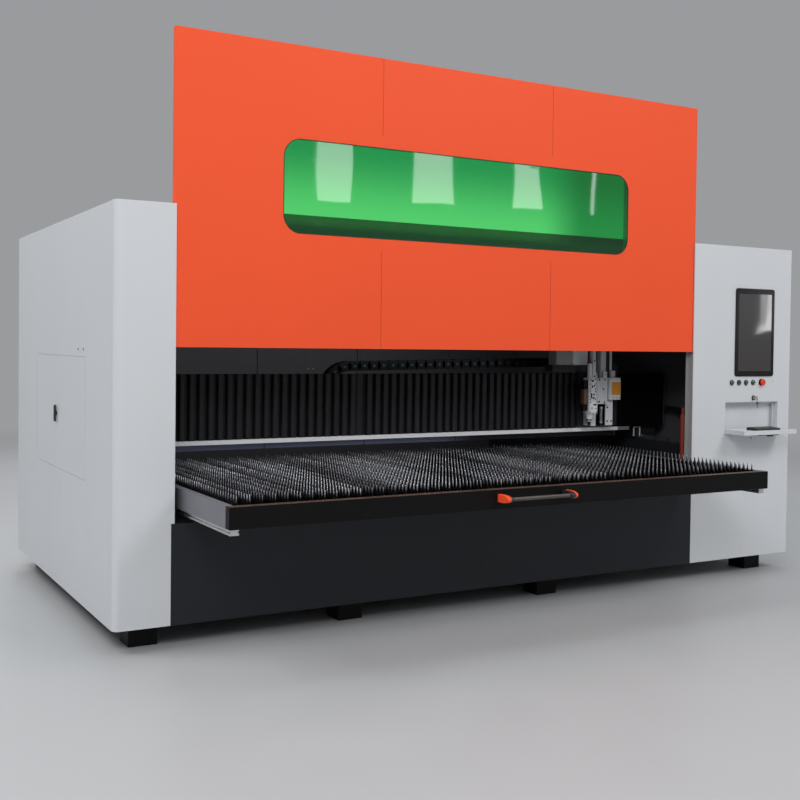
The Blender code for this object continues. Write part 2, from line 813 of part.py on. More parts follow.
def screen():
    """A bezel in front of the sheet with the housing behind it, and the glass set back in the bezel."""
    bezel = prism(
        "screen",
        rounded_rectangle(*screen_span(0), *screen_rise(0), SCREEN_RADIUS),
        "y",
        -SCREEN_PROUD,
        -TOUCH,
    )
    housing = box(
        "housing",
        screen_span(SCREEN_BODY_INSET),
        (-SCREEN_PROUD / 2, SCREEN_BODY_DEPTH),
        screen_rise(SCREEN_BODY_INSET),
    )
    glass = box(
        "glass",
        screen_span(SCREEN_GLASS_INSET),
        (-OVERRUN, SCREEN_GLASS_SINK - SCREEN_PROUD),
        screen_rise(SCREEN_GLASS_INSET),
    )
    return black(cut(join(bezel, housing), glass))


def button_places():
    return [HALF + BUTTON_SIDE + number * BUTTON_PITCH for number in range(BUTTON_COUNT)]


def button(number, x):
    front = -BUTTON_TRAVEL - SLIDE_GAP / 2 - BUTTON_CAP
    profile = [
        (BUTTON_RADIUS * CAP_EDGE_SHARE, front),
        (BUTTON_RADIUS, front + BUTTON_CAP / 3),
        (BUTTON_RADIUS, front + BUTTON_CAP),
        (BUTTON_STEM_RADIUS, front + BUTTON_CAP),
        (BUTTON_STEM_RADIUS, front + BUTTON_CAP + BUTTON_STEM),
    ]
    cap = turned(f"button_{number}", profile, "y", (x, BUTTON_Z))
    return paint(cap, "green_button", (0.02, 0.30, 0.12), 0.35)


def stop_button():
    front = -STOP_TRAVEL - SLIDE_GAP / 2 - STOP_CAP
    profile = [(STOP_RADIUS * wide, front + STOP_CAP * deep) for wide, deep in STOP_SHAPE_SHARES]
    profile += [
        (STOP_STEM_RADIUS, front + STOP_CAP),
        (STOP_STEM_RADIUS, front + STOP_CAP + BUTTON_STEM),
    ]
    head = turned("stop_button", profile, "y", (HALF + STOP_SIDE, STOP_Z))
    return paint(head, "red_button", (0.65, 0.02, 0.02), 0.35)


def lock_key():
    """The barrel with the key in it, its bow standing out in front."""
    lock_x = HALF + LOCK_SIDE
    barrel = turned(
        "lock_key",
        [(LOCK_RADIUS, LOCK_DEPTH), (LOCK_RADIUS, SHEET), (LOCK_RADIUS, -LOCK_PROUD)],
        "y",
        (lock_x, LOCK_Z),
    )
    half = KEY_THICKNESS / 2
    shank = box(
        "shank",
        (lock_x - half, lock_x + half),
        (-LOCK_PROUD - KEY_SHANK - KEY_BOW_LENGTH / 2, 0),
        (LOCK_Z - LOCK_RADIUS / 2, LOCK_Z + LOCK_RADIUS / 2),
    )
    middle_y = -LOCK_PROUD - KEY_SHANK - KEY_BOW_LENGTH / 2
    bow = prism(
        "bow",
        chamfered_rectangle(
            middle_y - KEY_BOW_LENGTH / 2,
            middle_y + KEY_BOW_LENGTH / 2,
            LOCK_Z - KEY_BOW_WIDTH / 2,
            LOCK_Z + KEY_BOW_WIDTH / 2,
            KEY_BOW_WIDTH / 4,
        ),
        "x",
        lock_x - half,
        lock_x + half,
    )
    return steel(join(barrel, shank, bow))


def keyboard_tray():
    """A pan with a raised rim, pivoted in the recess just behind the front sheet."""
    left = RECESS_LEFT + TRAY_SIDE_GAP
    right = RECESS_RIGHT - TRAY_SIDE_GAP
    front = HINGE_Y - TRAY_REACH
    rear = HINGE_Y + TRAY_HEEL
    low = TRAY_TOP - TRAY_THICKNESS
    pan = box("keyboard_tray", (left, right), (front, rear), (low, TRAY_TOP))
    well = box(
        "well",
        (left + TRAY_EDGE, right - TRAY_EDGE),
        (front + TRAY_EDGE, rear - TRAY_EDGE),
        (TRAY_TOP - TRAY_LIP, TRAY_TOP + OVERRUN),
    )
    return white(cut(pan, well))


def keyboard():
    low = TRAY_TOP - TRAY_LIP + TOUCH
    front = HINGE_Y - TRAY_REACH + KEYBOARD_INSET
    rear = front + KEYBOARD_DEPTH
    left = RECESS_LEFT + KEYBOARD_SIDE
    outline = [
        (front, low),
        (rear, low),
        (rear, low + KEYBOARD_HEIGHT),
        (rear - KEYBOARD_STEP, low + KEYBOARD_HEIGHT),
        (front, low + KEYBOARD_HEIGHT - KEYBOARD_STEP),
    ]
    board = prism("keyboard", outline, "x", left, left + KEYBOARD_WIDTH)
    return black(board)


# Roof, partition, back wall and lower front panel.

def roof():
    front = SHEET + TOUCH
    slot = HALF + SLOT_END_GAP + GUIDE_SHEET + SLIDE_GAP
    left = LEFT + SHEET + TOUCH
    right = RIGHT - SHEET - TOUCH
    outline = [
        (left + CORNER_RADIUS, front),
        (-slot, front),
        (-slot, SLOT_DEPTH),
        (slot, SLOT_DEPTH),
        (slot, front),
        (right, front),
        (right, REAR_INSIDE - TOUCH),
        (left, REAR_INSIDE - TOUCH),
        (left, front + CORNER_RADIUS),
    ]
    sheet = prism("roof", outline, "z", ROOF_LOW, MACHINE_TOP)
    flange = box(
        "flange", (-slot, slot), (SLOT_DEPTH, SLOT_DEPTH + SHEET), (ROOF_LOW - ROOF_FLANGE, MACHINE_TOP)
    )
    return white(join(sheet, flange))


def partition():
    wall = prism(
        "partition",
        rectangle(SLOT_DEPTH, REAR_INSIDE - TOUCH, BASE_TOP + TOUCH, ROOF_LOW - TOUCH),
        "x",
        PARTITION_X,
        PARTITION_X + SHEET,
    )
    return dark(wall)


def back_wall():
    left = LEFT + SHEET + TOUCH
    right = RIGHT - SHEET - TOUCH
    low = BODY_BOTTOM
    top = MACHINE_TOP
    sheet = box("back_wall", (left, right), (REAR_INSIDE, MACHINE_DEPTH), (low, top))
    ribs = []
    place_x = WALL_RIB_OFFSET
    while place_x - WALL_RIB_PITCH > left:
        place_x -= WALL_RIB_PITCH
    while place_x < PARTITION_X - WALL_RIB_WIDTH:
        ribs.append(
            box(
                "rib",
                (place_x - WALL_RIB_WIDTH / 2, place_x + WALL_RIB_WIDTH / 2),
                (REAR_INSIDE - WALL_RIB_DEPTH, REAR_INSIDE + SHEET / 2),
                (BED_TOP, ROOF_LOW - TOUCH - SHEET),
            )
        )
        place_x += WALL_RIB_PITCH
    ribs.append(
        box(
            "rail",
            (left + WALL_RIB_WIDTH, PARTITION_X - WALL_RIB_WIDTH),
            (REAR_INSIDE - WALL_RIB_DEPTH / 2, REAR_INSIDE + SHEET / 2),
            (WALL_RAIL_Z, WALL_RAIL_Z + WALL_RAIL_HEIGHT),
        )
    )
    return dark(join(sheet, *ribs))


def front_panel():
    path = [(PANEL_RETURN, PANEL_TOP), (0, PANEL_TOP), (0, BODY_BOTTOM), (PANEL_RETURN, BODY_BOTTOM)]
    return dark(
        prism("front_panel", folded(path, SHEET), "x", -HALF - PANEL_REACH, HALF - TOUCH)
    )


# Base frame, bed beams, ledges and the scrap pan.

def base_frame(name, front, sign):
    """A long tube along the machine, with four welded feet."""
    rear = front + BASE_TUBE
    tube = prism(
        name,
        chamfered_rectangle(front, rear, BASE_LOW, BASE_TOP, BEND_RADIUS),
        "x",
        LEFT + BASE_LEFT_INSET,
        RIGHT - BASE_RIGHT_INSET,
    )
    middle = (front + rear) / 2
    near = middle - sign * (BASE_TUBE / 2 - FOOT_SETBACK)
    far = near + sign * FOOT_WIDTH
    low_y, high_y = sorted((near, far))
    feet = []
    for x in (LEFT + FOOT_LEFT_INSET, FOOT_SECOND_X, FOOT_THIRD_X, RIGHT - FOOT_RIGHT_INSET):
        outline = chamfered_rectangle(x - FOOT_WIDTH / 2, x + FOOT_WIDTH / 2, low_y, high_y, FOOT_EDGE)
        feet.append(prism("foot", outline, "z", 0, BASE_LOW + OVERRUN))
    return black(join(tube, *feet))


def bed_beam(name, side):
    """A C-section beam with the table's ledge on its inner side. The right one also holds the chain trough."""
    inner = BED_INNER
    outer = BED_OUTER
    outline = [
        (outer, BED_TOP),
        (outer, BED_TOP - BED_PLATE),
        (inner + BED_PLATE, BED_TOP - BED_PLATE),
    ]
    if side > 0:
        outline += [
            (inner + BED_PLATE, TROUGH_Z + BED_PLATE),
            (Y_CHAIN_LEFT + Y_CHAIN_WIDTH - BEND_RADIUS, TROUGH_Z + BED_PLATE),
            (Y_CHAIN_LEFT + Y_CHAIN_WIDTH - BEND_RADIUS, TROUGH_Z),
            (inner + BED_PLATE, TROUGH_Z),
        ]
    outline += [
        (inner + BED_PLATE, BED_LOW + BED_PLATE),
        (outer, BED_LOW + BED_PLATE),
        (outer, BED_LOW),
        (inner, BED_LOW),
        (inner, LEDGE_TOP - LEDGE_HEIGHT),
        (inner - LEDGE_WIDTH, LEDGE_TOP - LEDGE_HEIGHT),
        (inner - LEDGE_WIDTH, LEDGE_TOP),
        (inner, LEDGE_TOP),
        (inner, BED_TOP),
    ]
    outline = [(side * x, z) for x, z in outline]
    return dark(prism(name, outline, "y", BED_START, BED_REAR))


def slag_tray():
    """A folded pan between the bed beams, lying on the two base tubes."""
    half = BED_INNER - TRAY_PAN_GAP
    low = BED_LOW
    top = low + TRAY_PAN_DEPTH
    floor = half - TRAY_PAN_SLOPE
    path = [(-half, top), (-floor, low), (floor, low), (half, top)]
    return dark(prism("slag_tray", folded(path, SHEET), "y", BED_START, BED_REAR))


def rail_outline(middle, width, low, height, waist):
    """The section of a linear rail, with the ball grooves as a narrower waist."""
    half = width / 2
    side = [(half, 0)]
    side += [(half - waist * inward, height * up) for inward, up in GROOVE_SHARES]
    side.append((half, height))
    right = [(middle + x, low + z) for x, z in side]
    left = [(middle - x, low + z) for x, z in side]
    return right + left[::-1]


def y_rail(name, side):
    outline = rail_outline(side * Y_RAIL_X, Y_RAIL_WIDTH, BED_TOP + TOUCH, Y_RAIL_HEIGHT, Y_RAIL_WAIST)
    return steel(prism(name, outline, "y", BED_START + Y_RAIL_END_GAP, BED_REAR - Y_RAIL_END_GAP))


def door_cylinder():
    """The damper that the closed door comes down beside: foot flange, tube and rod end."""
    profile = [
        (DAMPER_FOOT_RADIUS, BASE_TOP + TOUCH),
        (DAMPER_FOOT_RADIUS, BASE_TOP + DAMPER_FOOT),
        (DAMPER_RADIUS, BASE_TOP + DAMPER_FOOT),
        (DAMPER_RADIUS, DAMPER_TOP),
        (DAMPER_ROD_RADIUS, DAMPER_TOP),
        (DAMPER_ROD_RADIUS, DAMPER_TOP + DAMPER_ROD),
    ]
    tube = turned("door_cylinder", profile, "z", (DAMPER_X, DAMPER_Y))
    return paint(tube, "red_brown_tube", (0.25, 0.03, 0.02), 0.4)


# Lifting door: folded skin, window sheet, welded frame with guide shoes, and its two guides.

def door_guide(name, side):
    """A channel behind the lip of the front sheet, in which the door's edge and shoes run."""
    inner = HALF + TOUCH
    outer = GUIDE_X
    front = LIP + TOUCH
    rear = GUIDE_REAR
    path = [(inner, front), (outer, front), (outer, rear), (inner, rear)]
    outline = [(side * x, y) for x, y in folded(path, GUIDE_SHEET)]
    return steel(prism(name, outline, "z", PANEL_TOP + TOUCH, ROOF_LOW - TOUCH))


def window_outline(lap):
    return rounded_rectangle(
        WINDOW_LEFT - lap, WINDOW_RIGHT + lap, WINDOW_LOW - lap, WINDOW_TOP + lap, WINDOW_RADIUS
    )


def door_skin():
    """A pan folded from sheet, open at the back, with the window hole and the four seams."""
    face = DOOR_FACE
    back = face + DOOR_DEPTH
    pan = box("door_skin", (-DOOR_HALF, DOOR_HALF), (face, back), (DOOR_LOW, DOOR_TOP))
    hollow = box(
        "hollow",
        (-DOOR_HALF + DOOR_SKIN, DOOR_HALF - DOOR_SKIN),
        (face + DOOR_SKIN, back + OVERRUN),
        (DOOR_LOW + DOOR_SKIN, DOOR_TOP - DOOR_SKIN),
    )
    window = prism("window", window_outline(0), "y", face - OVERRUN, back + OVERRUN)
    low = WINDOW_LOW - SEAM_TO_WINDOW
    top = WINDOW_TOP + SEAM_TO_WINDOW
    grooves = []
    for x in (SEAM_LEFT, SEAM_RIGHT):
        for z in ((DOOR_LOW - OVERRUN, low), (top, DOOR_TOP + OVERRUN)):
            grooves.append(
                box("groove", (x - SEAM_WIDTH / 2, x + SEAM_WIDTH / 2), (face - OVERRUN, face + SEAM_DEPTH), z)
            )
    return orange(cut(pan, hollow, window, *grooves))


def door_window():
    sheet = prism(
        "door_window",
        window_outline(WINDOW_LAP),
        "y",
        DOOR_FACE + DOOR_SKIN + TOUCH,
        DOOR_FACE + DOOR_SKIN + TOUCH + WINDOW_SHEET,
    )
    return paint(sheet, "green_acrylic", (0.01, 0.35, 0.08), 0.1)


def door_frame():
    """Square tubes welded round the edge, beside the seams and round the window, with a shoe at each side."""
    side = DOOR_HALF - DOOR_SKIN - TOUCH
    low = DOOR_LOW + DOOR_SKIN + TOUCH
    top = DOOR_TOP - DOOR_SKIN - TOUCH
    depth = (FRAME_FRONT, FRAME_REAR)
    frame = box("door_frame", (-side, side), depth, (low, top))
    bays = []
    posts = [-side, WINDOW_LEFT, SEAM_LEFT, SEAM_RIGHT, WINDOW_RIGHT, side]
    for left, right in zip(posts, posts[1:]):
        start = left + (DOOR_TUBE if left == -side else DOOR_TUBE / 2)
        end = right - (DOOR_TUBE if right == side else DOOR_TUBE / 2)
        bays.append((start, end, low + DOOR_TUBE, WINDOW_LOW - DOOR_TUBE))
        bays.append((start, end, WINDOW_TOP + DOOR_TUBE, top - DOOR_TUBE))
    bays.append((-side + DOOR_TUBE, WINDOW_LEFT - DOOR_TUBE, WINDOW_LOW, WINDOW_TOP))
    bays.append((WINDOW_RIGHT + DOOR_TUBE, side - DOOR_TUBE, WINDOW_LOW, WINDOW_TOP))
    bays.append((WINDOW_LEFT, WINDOW_RIGHT, WINDOW_LOW, WINDOW_TOP))
    cutters = []
    for left, right, bottom, roof_z in bays:
        cutters.append(
            box("bay", (left, right), (FRAME_FRONT - OVERRUN, FRAME_REAR + OVERRUN), (bottom, roof_z))
        )
    cut(frame, *cutters)
    shoes = []
    for sign in (-1, 1):
        reach = GUIDE_X - GUIDE_SHEET - TOUCH
        x = sorted((sign * (reach - SHOE_WIDTH), sign * reach))
        shoes.append(
            box(
                "shoe",
                x,
                (DOOR_FACE + DOOR_DEPTH + TOUCH, GUIDE_REAR - GUIDE_SHEET - TOUCH),
                (DOOR_LOW + SHOE_RISE, DOOR_LOW + SHOE_RISE + SHOE_HEIGHT),
            )
        )
    return steel(join(frame, *shoes))


# Slat table: frame, front beam, toothed slats in two notched carriers, rails and handle.

def table_frame():
    """Two side channels and a rear channel, folded and welded."""
    left = -TABLE_HALF
    right = TABLE_HALF
    front = TABLE_FRONT + TABLE_BEAM + TOUCH
    frame = box("table_frame", (left, right), (front, TABLE_REAR), (TABLE_LOW, TABLE_TOP))
    inner = TABLE_FLANGE
    hollow = box(
        "hollow",
        (left + inner, right - inner),
        (front - OVERRUN, TABLE_REAR - inner),
        (TABLE_LOW - OVERRUN, TABLE_TOP + OVERRUN),
    )
    web = TABLE_PLATE
    channels = []
    for sign in (-1, 1):
        x = sorted((sign * (TABLE_HALF - web), sign * (TABLE_HALF - inner - OVERRUN)))
        channels.append(
            box("channel", x, (front - OVERRUN, TABLE_REAR - web), (TABLE_LOW + web, TABLE_TOP - web))
        )
    return paint(cut(frame, hollow, *channels), "grey_steel", (0.20, 0.20, 0.20), 0.5)


def table_front_beam():
    outline = [
        (TABLE_FRONT, TABLE_LOW),
        (TABLE_FRONT + TABLE_BEAM, TABLE_LOW),
        (TABLE_FRONT + TABLE_BEAM, TABLE_TOP),
        (TABLE_FRONT, TABLE_TOP),
    ]
    beam = prism("table_front_beam", outline, "x", -TABLE_HALF, TABLE_HALF)
    return black(soften(beam, TABLE_EDGE))


def slat_outline(start, end):
    """One slat seen from the side: a row of pointed teeth on a plain band."""
    low = SLAT_TIP - SLAT_DEPTH
    root = SLAT_TIP - SLAT_TOOTH
    count = max(2, round((end - start) / TOOTH_PITCH))
    pitch = (end - start) / count
    outline = [(start, low), (end, low), (end, root)]
    for tooth in range(count - 1, -1, -1):
        tip = start + tooth * pitch + pitch / 2
        outline.append((tip, SLAT_TIP))
        outline.append((start + tooth * pitch, root))
    return outline


def slat_bed():
    front = TABLE_FRONT + TABLE_BEAM + 2 * TOUCH
    rear = TABLE_REAR - TABLE_FLANGE - TOUCH
    half = TABLE_HALF - TABLE_FLANGE - TOUCH
    carriers = []
    for y in (front, rear - CARRIER_WIDTH):
        carriers.append(
            box("carrier", (-half, half), (y, y + CARRIER_WIDTH), (TABLE_LOW, TABLE_LOW + CARRIER_HEIGHT))
        )
    count = int((2 * half - 2 * SLAT_END_INSET) / SLAT_PITCH) + 1
    first = -(count - 1) * SLAT_PITCH / 2
    outline = slat_outline(front + SLAT_END_INSET, rear - SLAT_END_INSET)

    def build(bm):
        for number in range(count):
            x = first + number * SLAT_PITCH
            add_prism(bm, outline, "x", x - SLAT_SHEET / 2, x + SLAT_SHEET / 2)

    slats = solid_from("slat_bed", build)
    return steel(join(slats, *carriers))


def table_rail(name, side):
    outline = rail_outline(
        side * RAIL_X, RAIL_WIDTH, RAIL_LOW, RAIL_HEIGHT, RAIL_WAIST
    )
    return steel(prism(name, outline, "y", TABLE_FRONT + RAIL_END, TABLE_REAR - RAIL_END))


def handle_leg(low, high):
    """A leg seen from its side: its foot on the beam, tapering to a round nose round the bar."""
    half = HANDLE_HEIGHT / 2
    seat = TABLE_FRONT - TOUCH
    nose = [(seat - HANDLE_STANDOFF * out, half * up) for out, up in LEG_SHAPE_SHARES]
    outline = [(y, HANDLE_Z + z) for y, z in nose]
    outline += [(y, HANDLE_Z - z) for y, z in nose[::-1]]
    return prism("leg", outline, "x", low, high)


def table_handle():
    """A round bar between two legs that stand off the front beam."""
    bar = turned(
        "table_handle",
        [(HANDLE_BAR / 2, HANDLE_LEFT + HANDLE_LEG / 2), (HANDLE_BAR / 2, HANDLE_RIGHT - HANDLE_LEG / 2)],
        "x",
        (HANDLE_FRONT + HANDLE_BAR, HANDLE_Z),
    )
    left = handle_leg(HANDLE_LEFT, HANDLE_LEFT + HANDLE_LEG)
    right = handle_leg(HANDLE_RIGHT - HANDLE_LEG, HANDLE_RIGHT)
    return orange(join(bar, left, right))


# Gantry: beam, end saddles, rails, lower cover and the pleated bellows.

def gantry_beam():
    """A box beam with a shelf behind it that carries the drag chain."""
    low = X_CHAIN_TOP - 2 * X_CHAIN_RADIUS - TOUCH
    outline = [
        (BEAM_FRONT + BEAM_CHAMFER, BEAM_LOW),
        (BEAM_REAR - BEAM_CHAMFER, BEAM_LOW),
        (BEAM_REAR, BEAM_LOW + BEAM_CHAMFER),
        (BEAM_REAR, low - SHEET),
        (BEAM_REAR + SHELF_DEPTH, low - SHEET),
        (BEAM_REAR + SHELF_DEPTH, low + SHELF_LIP),
        (BEAM_REAR + SHELF_DEPTH - SHEET, low + SHELF_LIP),
        (BEAM_REAR + SHELF_DEPTH - SHEET, low),
        (BEAM_REAR, low),
        (BEAM_REAR, BEAM_TOP - BEAM_CHAMFER),
        (BEAM_REAR - BEAM_CHAMFER, BEAM_TOP),
        (BEAM_FRONT + BEAM_CHAMFER, BEAM_TOP),
        (BEAM_FRONT, BEAM_TOP - BEAM_CHAMFER),
        (BEAM_FRONT, BEAM_LOW + BEAM_CHAMFER),
    ]
    return dark(prism("gantry_beam", outline, "x", -BEAM_HALF, BEAM_HALF))


def gantry_end(name, side):
    """A saddle that straddles the Y rail, with an upright that the beam is bolted to."""
    gap = Y_RAIL_WIDTH / 2 + TOUCH
    low = BED_TOP + TOUCH + Y_RAIL_HEIGHT * SADDLE_GRIP_SHARE
    roof_z = BED_TOP + TOUCH + Y_RAIL_HEIGHT + TOUCH
    outline = [
        (END_INNER, low),
        (Y_RAIL_X - gap, low),
        (Y_RAIL_X - gap, roof_z),
        (Y_RAIL_X + gap, roof_z),
        (Y_RAIL_X + gap, low),
        (END_OUTER, low),
        (END_OUTER, END_BASE_TOP),
        (END_OUTER - END_POST_INSET, END_BASE_TOP + END_POST_INSET),
        (END_OUTER - END_POST_INSET, BEAM_TOP),
        (END_INNER, BEAM_TOP),
    ]
    outline = [(side * x, z) for x, z in outline]
    end = prism(name, outline, "y", END_FRONT, END_REAR)
    if side > 0:
        bracket = box(
            "bracket",
            (END_OUTER - 2 * END_POST_INSET, Y_CHAIN_LEFT + Y_CHAIN_WIDTH),
            (END_REAR - 2 * END_POST_INSET, END_REAR),
            (Y_CHAIN_TOP + TOUCH, Y_CHAIN_TOP + END_POST_INSET / 2),
        )
        join(end, bracket)
    return dark(end)


def x_rail(name, low):
    outline = rail_outline(low + X_RAIL_WIDTH / 2, X_RAIL_WIDTH, 0, X_RAIL_DEPTH, X_RAIL_WAIST)
    outline = [(BEAM_FRONT - TOUCH - depth, z) for z, depth in outline]
    return steel(prism(name, outline, "x", -BEAM_HALF + Y_RAIL_END_GAP, BEAM_HALF - Y_RAIL_END_GAP))


def gantry_cover():
    """The light folded strip under the bellows, screwed to the beam's underside."""
    top = BELLOWS_LOW - TOUCH
    path = [
        (COVER_BACK + COVER_FLANGE, BEAM_LOW - TOUCH - COVER_SHEET),
        (COVER_BACK, BEAM_LOW - TOUCH - COVER_SHEET),
        (COVER_BACK, COVER_LOW),
        (COVER_FACE, COVER_LOW),
        (COVER_FACE, top),
    ]
    outline = folded(path[::-1], COVER_SHEET)
    return white(prism("gantry_cover", outline, "x", COVER_LEFT, COVER_RIGHT))


def pleats(name, start, end, count):
    """A folded wall: pleat crests at the face and valleys at the back, with a flat frame plate at each end."""
    face = BELLOWS_FACE
    back = BELLOWS_FACE + BELLOWS_DEPTH
    pitch = (end - start) / count
    wall = min(BELLOWS_WALL, pitch / 3)
    front = []
    rear = []
    for number in range(count):
        left = start + number * pitch
        front += [(left, back - BELLOWS_WALL), (left + pitch / 2, face)]
        rear += [(left, back), (left + pitch / 2, face + wall * BELLOWS_DEPTH / pitch + BELLOWS_WALL)]
    front.append((end, back - BELLOWS_WALL))
    rear.append((end, back))
    return black(prism(name, front + rear[::-1], "z", BELLOWS_LOW, BELLOWS_TOP))


def pleat_count():
    return round((CARRIAGE_LEFT - BELLOWS_LEFT) / PLEAT_PITCH)


# Drag chains: a row of links, with a small notch between each two.

def link_steps(start, end, link):
    count = max(1, round(abs(end - start) / link))
    return [start + (end - start) * number / count for number in range(count + 1)]


def notched(run, inward):
    """A straight or bent run of points with a notch at each inner one, set inward by the notch depth."""
    points = [run[0]]
    for before, here, after in zip(run, run[1:], run[2:]):
        back = (Vector(before) - Vector(here)).normalized() * CHAIN_NOTCH / 2
        on = (Vector(after) - Vector(here)).normalized() * CHAIN_NOTCH / 2
        normal = Vector((-on.y, on.x)).normalized() * CHAIN_NOTCH_DEPTH * inward
        points.append(tuple(Vector(here) + back))
        points.append(tuple(Vector(here) + normal))
        points.append(tuple(Vector(here) + on))
    points.append(run[-1])
    return points


def chain(name, axis, outer, inner, low, high):
    """A chain from its outer and inner rows of joints, both listed from the same end."""
    outline = notched(outer, 1) + notched(inner, -1)[::-1]
    return black(prism(name, outline, axis, low, high))


def chain_row(first_end, bend, second_end, radius, rise):
    """Joints along a run, round the bend and back. Runs lie along the first coordinate."""
    top = (bend[0], bend[1] + radius)
    bottom = (bend[0], bend[1] - radius)
    row = [(x, top[1] + rise * (x - bend[0]) / (first_end - bend[0]))
           for x in link_steps(first_end, bend[0], CHAIN_LINK)]
    row += arc(bend, radius, 90, 270, BEND_STEPS)[1:-1]
    row += [(x, bottom[1]) for x in link_steps(bend[0], second_end, CHAIN_LINK)]
    return row


def x_chain():
    bend = (X_CHAIN_BEND_X, X_CHAIN_TOP - X_CHAIN_RADIUS)
    lower_end = X_CHAIN_BEND_X + X_CHAIN_LOWER
    rows = []
    for radius in (X_CHAIN_RADIUS, X_CHAIN_RADIUS - X_CHAIN_HEIGHT):
        rows.append(chain_row(X_CHAIN_END_X, bend, lower_end, radius, X_CHAIN_RISE))
    return chain("x_chain", "y", rows[0], rows[1], X_CHAIN_Y, X_CHAIN_Y + X_CHAIN_WIDTH)


def y_chain_radius():
    return (Y_CHAIN_TOP - TROUGH_Z - BED_PLATE - TOUCH) / 2


def y_chain():
    radius = y_chain_radius()
    bend = (Y_CHAIN_BEND_Y, Y_CHAIN_TOP - radius)
    lower_end = Y_CHAIN_BEND_Y + Y_CHAIN_LOWER
    rows = []
    for size in (radius, radius - Y_CHAIN_HEIGHT):
        rows.append(chain_row(END_REAR, bend, lower_end, size, 0))
    return chain("y_chain", "x", rows[0], rows[1], Y_CHAIN_LEFT, Y_CHAIN_LEFT + Y_CHAIN_WIDTH)


# Carriage: plate with rail blocks, arm, bridge, boxes and the Z axis.

def carriage_plate():
    """A plate whose rear blocks straddle the X rails, with an arm for the boxes and a bridge to the chain."""
    face = CARRIAGE_FACE
    back = face + CARRIAGE_PLATE
    plate = prism(
        "carriage_plate",
        rectangle(face, back, CARRIAGE_LOW, CARRIAGE_TOP),
        "x",
        CARRIAGE_LEFT,
        CARRIAGE_RIGHT,
    )
    groove = X_RAIL_WIDTH / 2 + TOUCH
    bottom = BEAM_FRONT - TOUCH - X_RAIL_DEPTH - TOUCH
    reach = BEAM_FRONT - TOUCH - X_RAIL_DEPTH * BLOCK_GRIP_SHARE
    pieces = []
    for low in (X_RAIL_UPPER, X_RAIL_LOWER):
        middle = low + X_RAIL_WIDTH / 2
        outline = [
            (back - SHEET, middle - groove - CARRIAGE_BLOCK),
            (reach, middle - groove - CARRIAGE_BLOCK),
            (reach, middle - groove),
            (bottom, middle - groove),
            (bottom, middle + groove),
            (reach, middle + groove),
            (reach, middle + groove + CARRIAGE_BLOCK),
            (back - SHEET, middle + groove + CARRIAGE_BLOCK),
        ]
        inset = CARRIAGE_BLOCK
        pieces.append(prism("block", outline, "x", CARRIAGE_LEFT + inset, CARRIAGE_RIGHT - inset))
    pieces.append(
        box(
            "arm",
            (ARM_LEFT, CARRIAGE_LEFT + CARRIAGE_BLOCK),
            (back - ARM_DEPTH, back - SHEET),
            (CARRIAGE_TOP - TOUCH - ARM_HEIGHT, CARRIAGE_TOP - TOUCH),
        )
    )
    bridge_low = X_CHAIN_TOP + X_CHAIN_RISE + TOUCH
    pieces.append(
        box(
            "riser",
            (BRIDGE_LEFT, BRIDGE_LEFT + BRIDGE_WIDTH),
            (back - BRIDGE_PLATE, back - SHEET / 3),
            (CARRIAGE_TOP - CARRIAGE_BLOCK, bridge_low + BRIDGE_PLATE),
        )
    )
    pieces.append(
        box(
            "bridge",
            (BRIDGE_LEFT + TOUCH, BRIDGE_LEFT + BRIDGE_WIDTH - TOUCH),
            (back - BRIDGE_PLATE / 2, BRIDGE_REAR),
            (bridge_low, bridge_low + BRIDGE_PLATE - TOUCH),
        )
    )
    return dark(join(plate, *pieces))


def carriage_box(name, left, right):
    low = CARRIAGE_TOP
    block = box(name, (left, right), (BOX_FRONT, BOX_FRONT + BOX_DEPTH), (low, low + BOX_HEIGHT))
    return soften(block, BOX_BEVEL)


def cable_box():
    return light_grey(carriage_box("cable_box", CABLE_BOX_LEFT, CABLE_BOX_RIGHT))


def gas_box():
    return white(carriage_box("gas_box", CABLE_BOX_RIGHT + TOUCH, CABLE_BOX_RIGHT + TOUCH + GAS_BOX_WIDTH))


def z_axis_body():
    """The fixed column of the Z axis, standing on two feet with an open slot between them."""
    slot_low = Z_BODY_LOW + Z_FOOT_HEIGHT
    outline = [
        (Z_BODY_LEFT, Z_BODY_LOW),
        (Z_BODY_LEFT + Z_FOOT_LEFT, Z_BODY_LOW),
        (Z_BODY_LEFT + Z_FOOT_LEFT, slot_low),
        (Z_BODY_RIGHT - Z_FOOT_RIGHT, slot_low),
        (Z_BODY_RIGHT - Z_FOOT_RIGHT, Z_BODY_LOW),
        (Z_BODY_RIGHT, Z_BODY_LOW),
        (Z_BODY_RIGHT, Z_BODY_TOP),
        (Z_BODY_LEFT, Z_BODY_TOP),
    ]
    return light_grey(prism("z_axis_body", outline, "y", Z_BODY_FRONT, CARRIAGE_FACE - TOUCH))


def z_motor():
    motor = box(
        "z_motor",
        (CARRIAGE_LEFT + Z_MOTOR_SIDE, CARRIAGE_LEFT + Z_MOTOR_SIDE + Z_MOTOR_WIDTH),
        (CARRIAGE_FACE - Z_MOTOR_PROUD, CARRIAGE_FACE - TOUCH),
        (Z_BODY_TOP + TOUCH, Z_BODY_TOP + TOUCH + Z_MOTOR_HEIGHT),
    )
    return white(soften(motor, BOX_BEVEL))


def sensor_box():
    block = box(
        "sensor_box",
        (SENSOR_LEFT, SENSOR_LEFT + SENSOR_WIDTH),
        (Z_BODY_FRONT - SENSOR_PROUD, Z_BODY_FRONT - TOUCH),
        (Z_BODY_TOP - SENSOR_HEIGHT, Z_BODY_TOP),
    )
    return light_grey(soften(block, BOX_BEVEL))


# Cutting head on the Z slide.

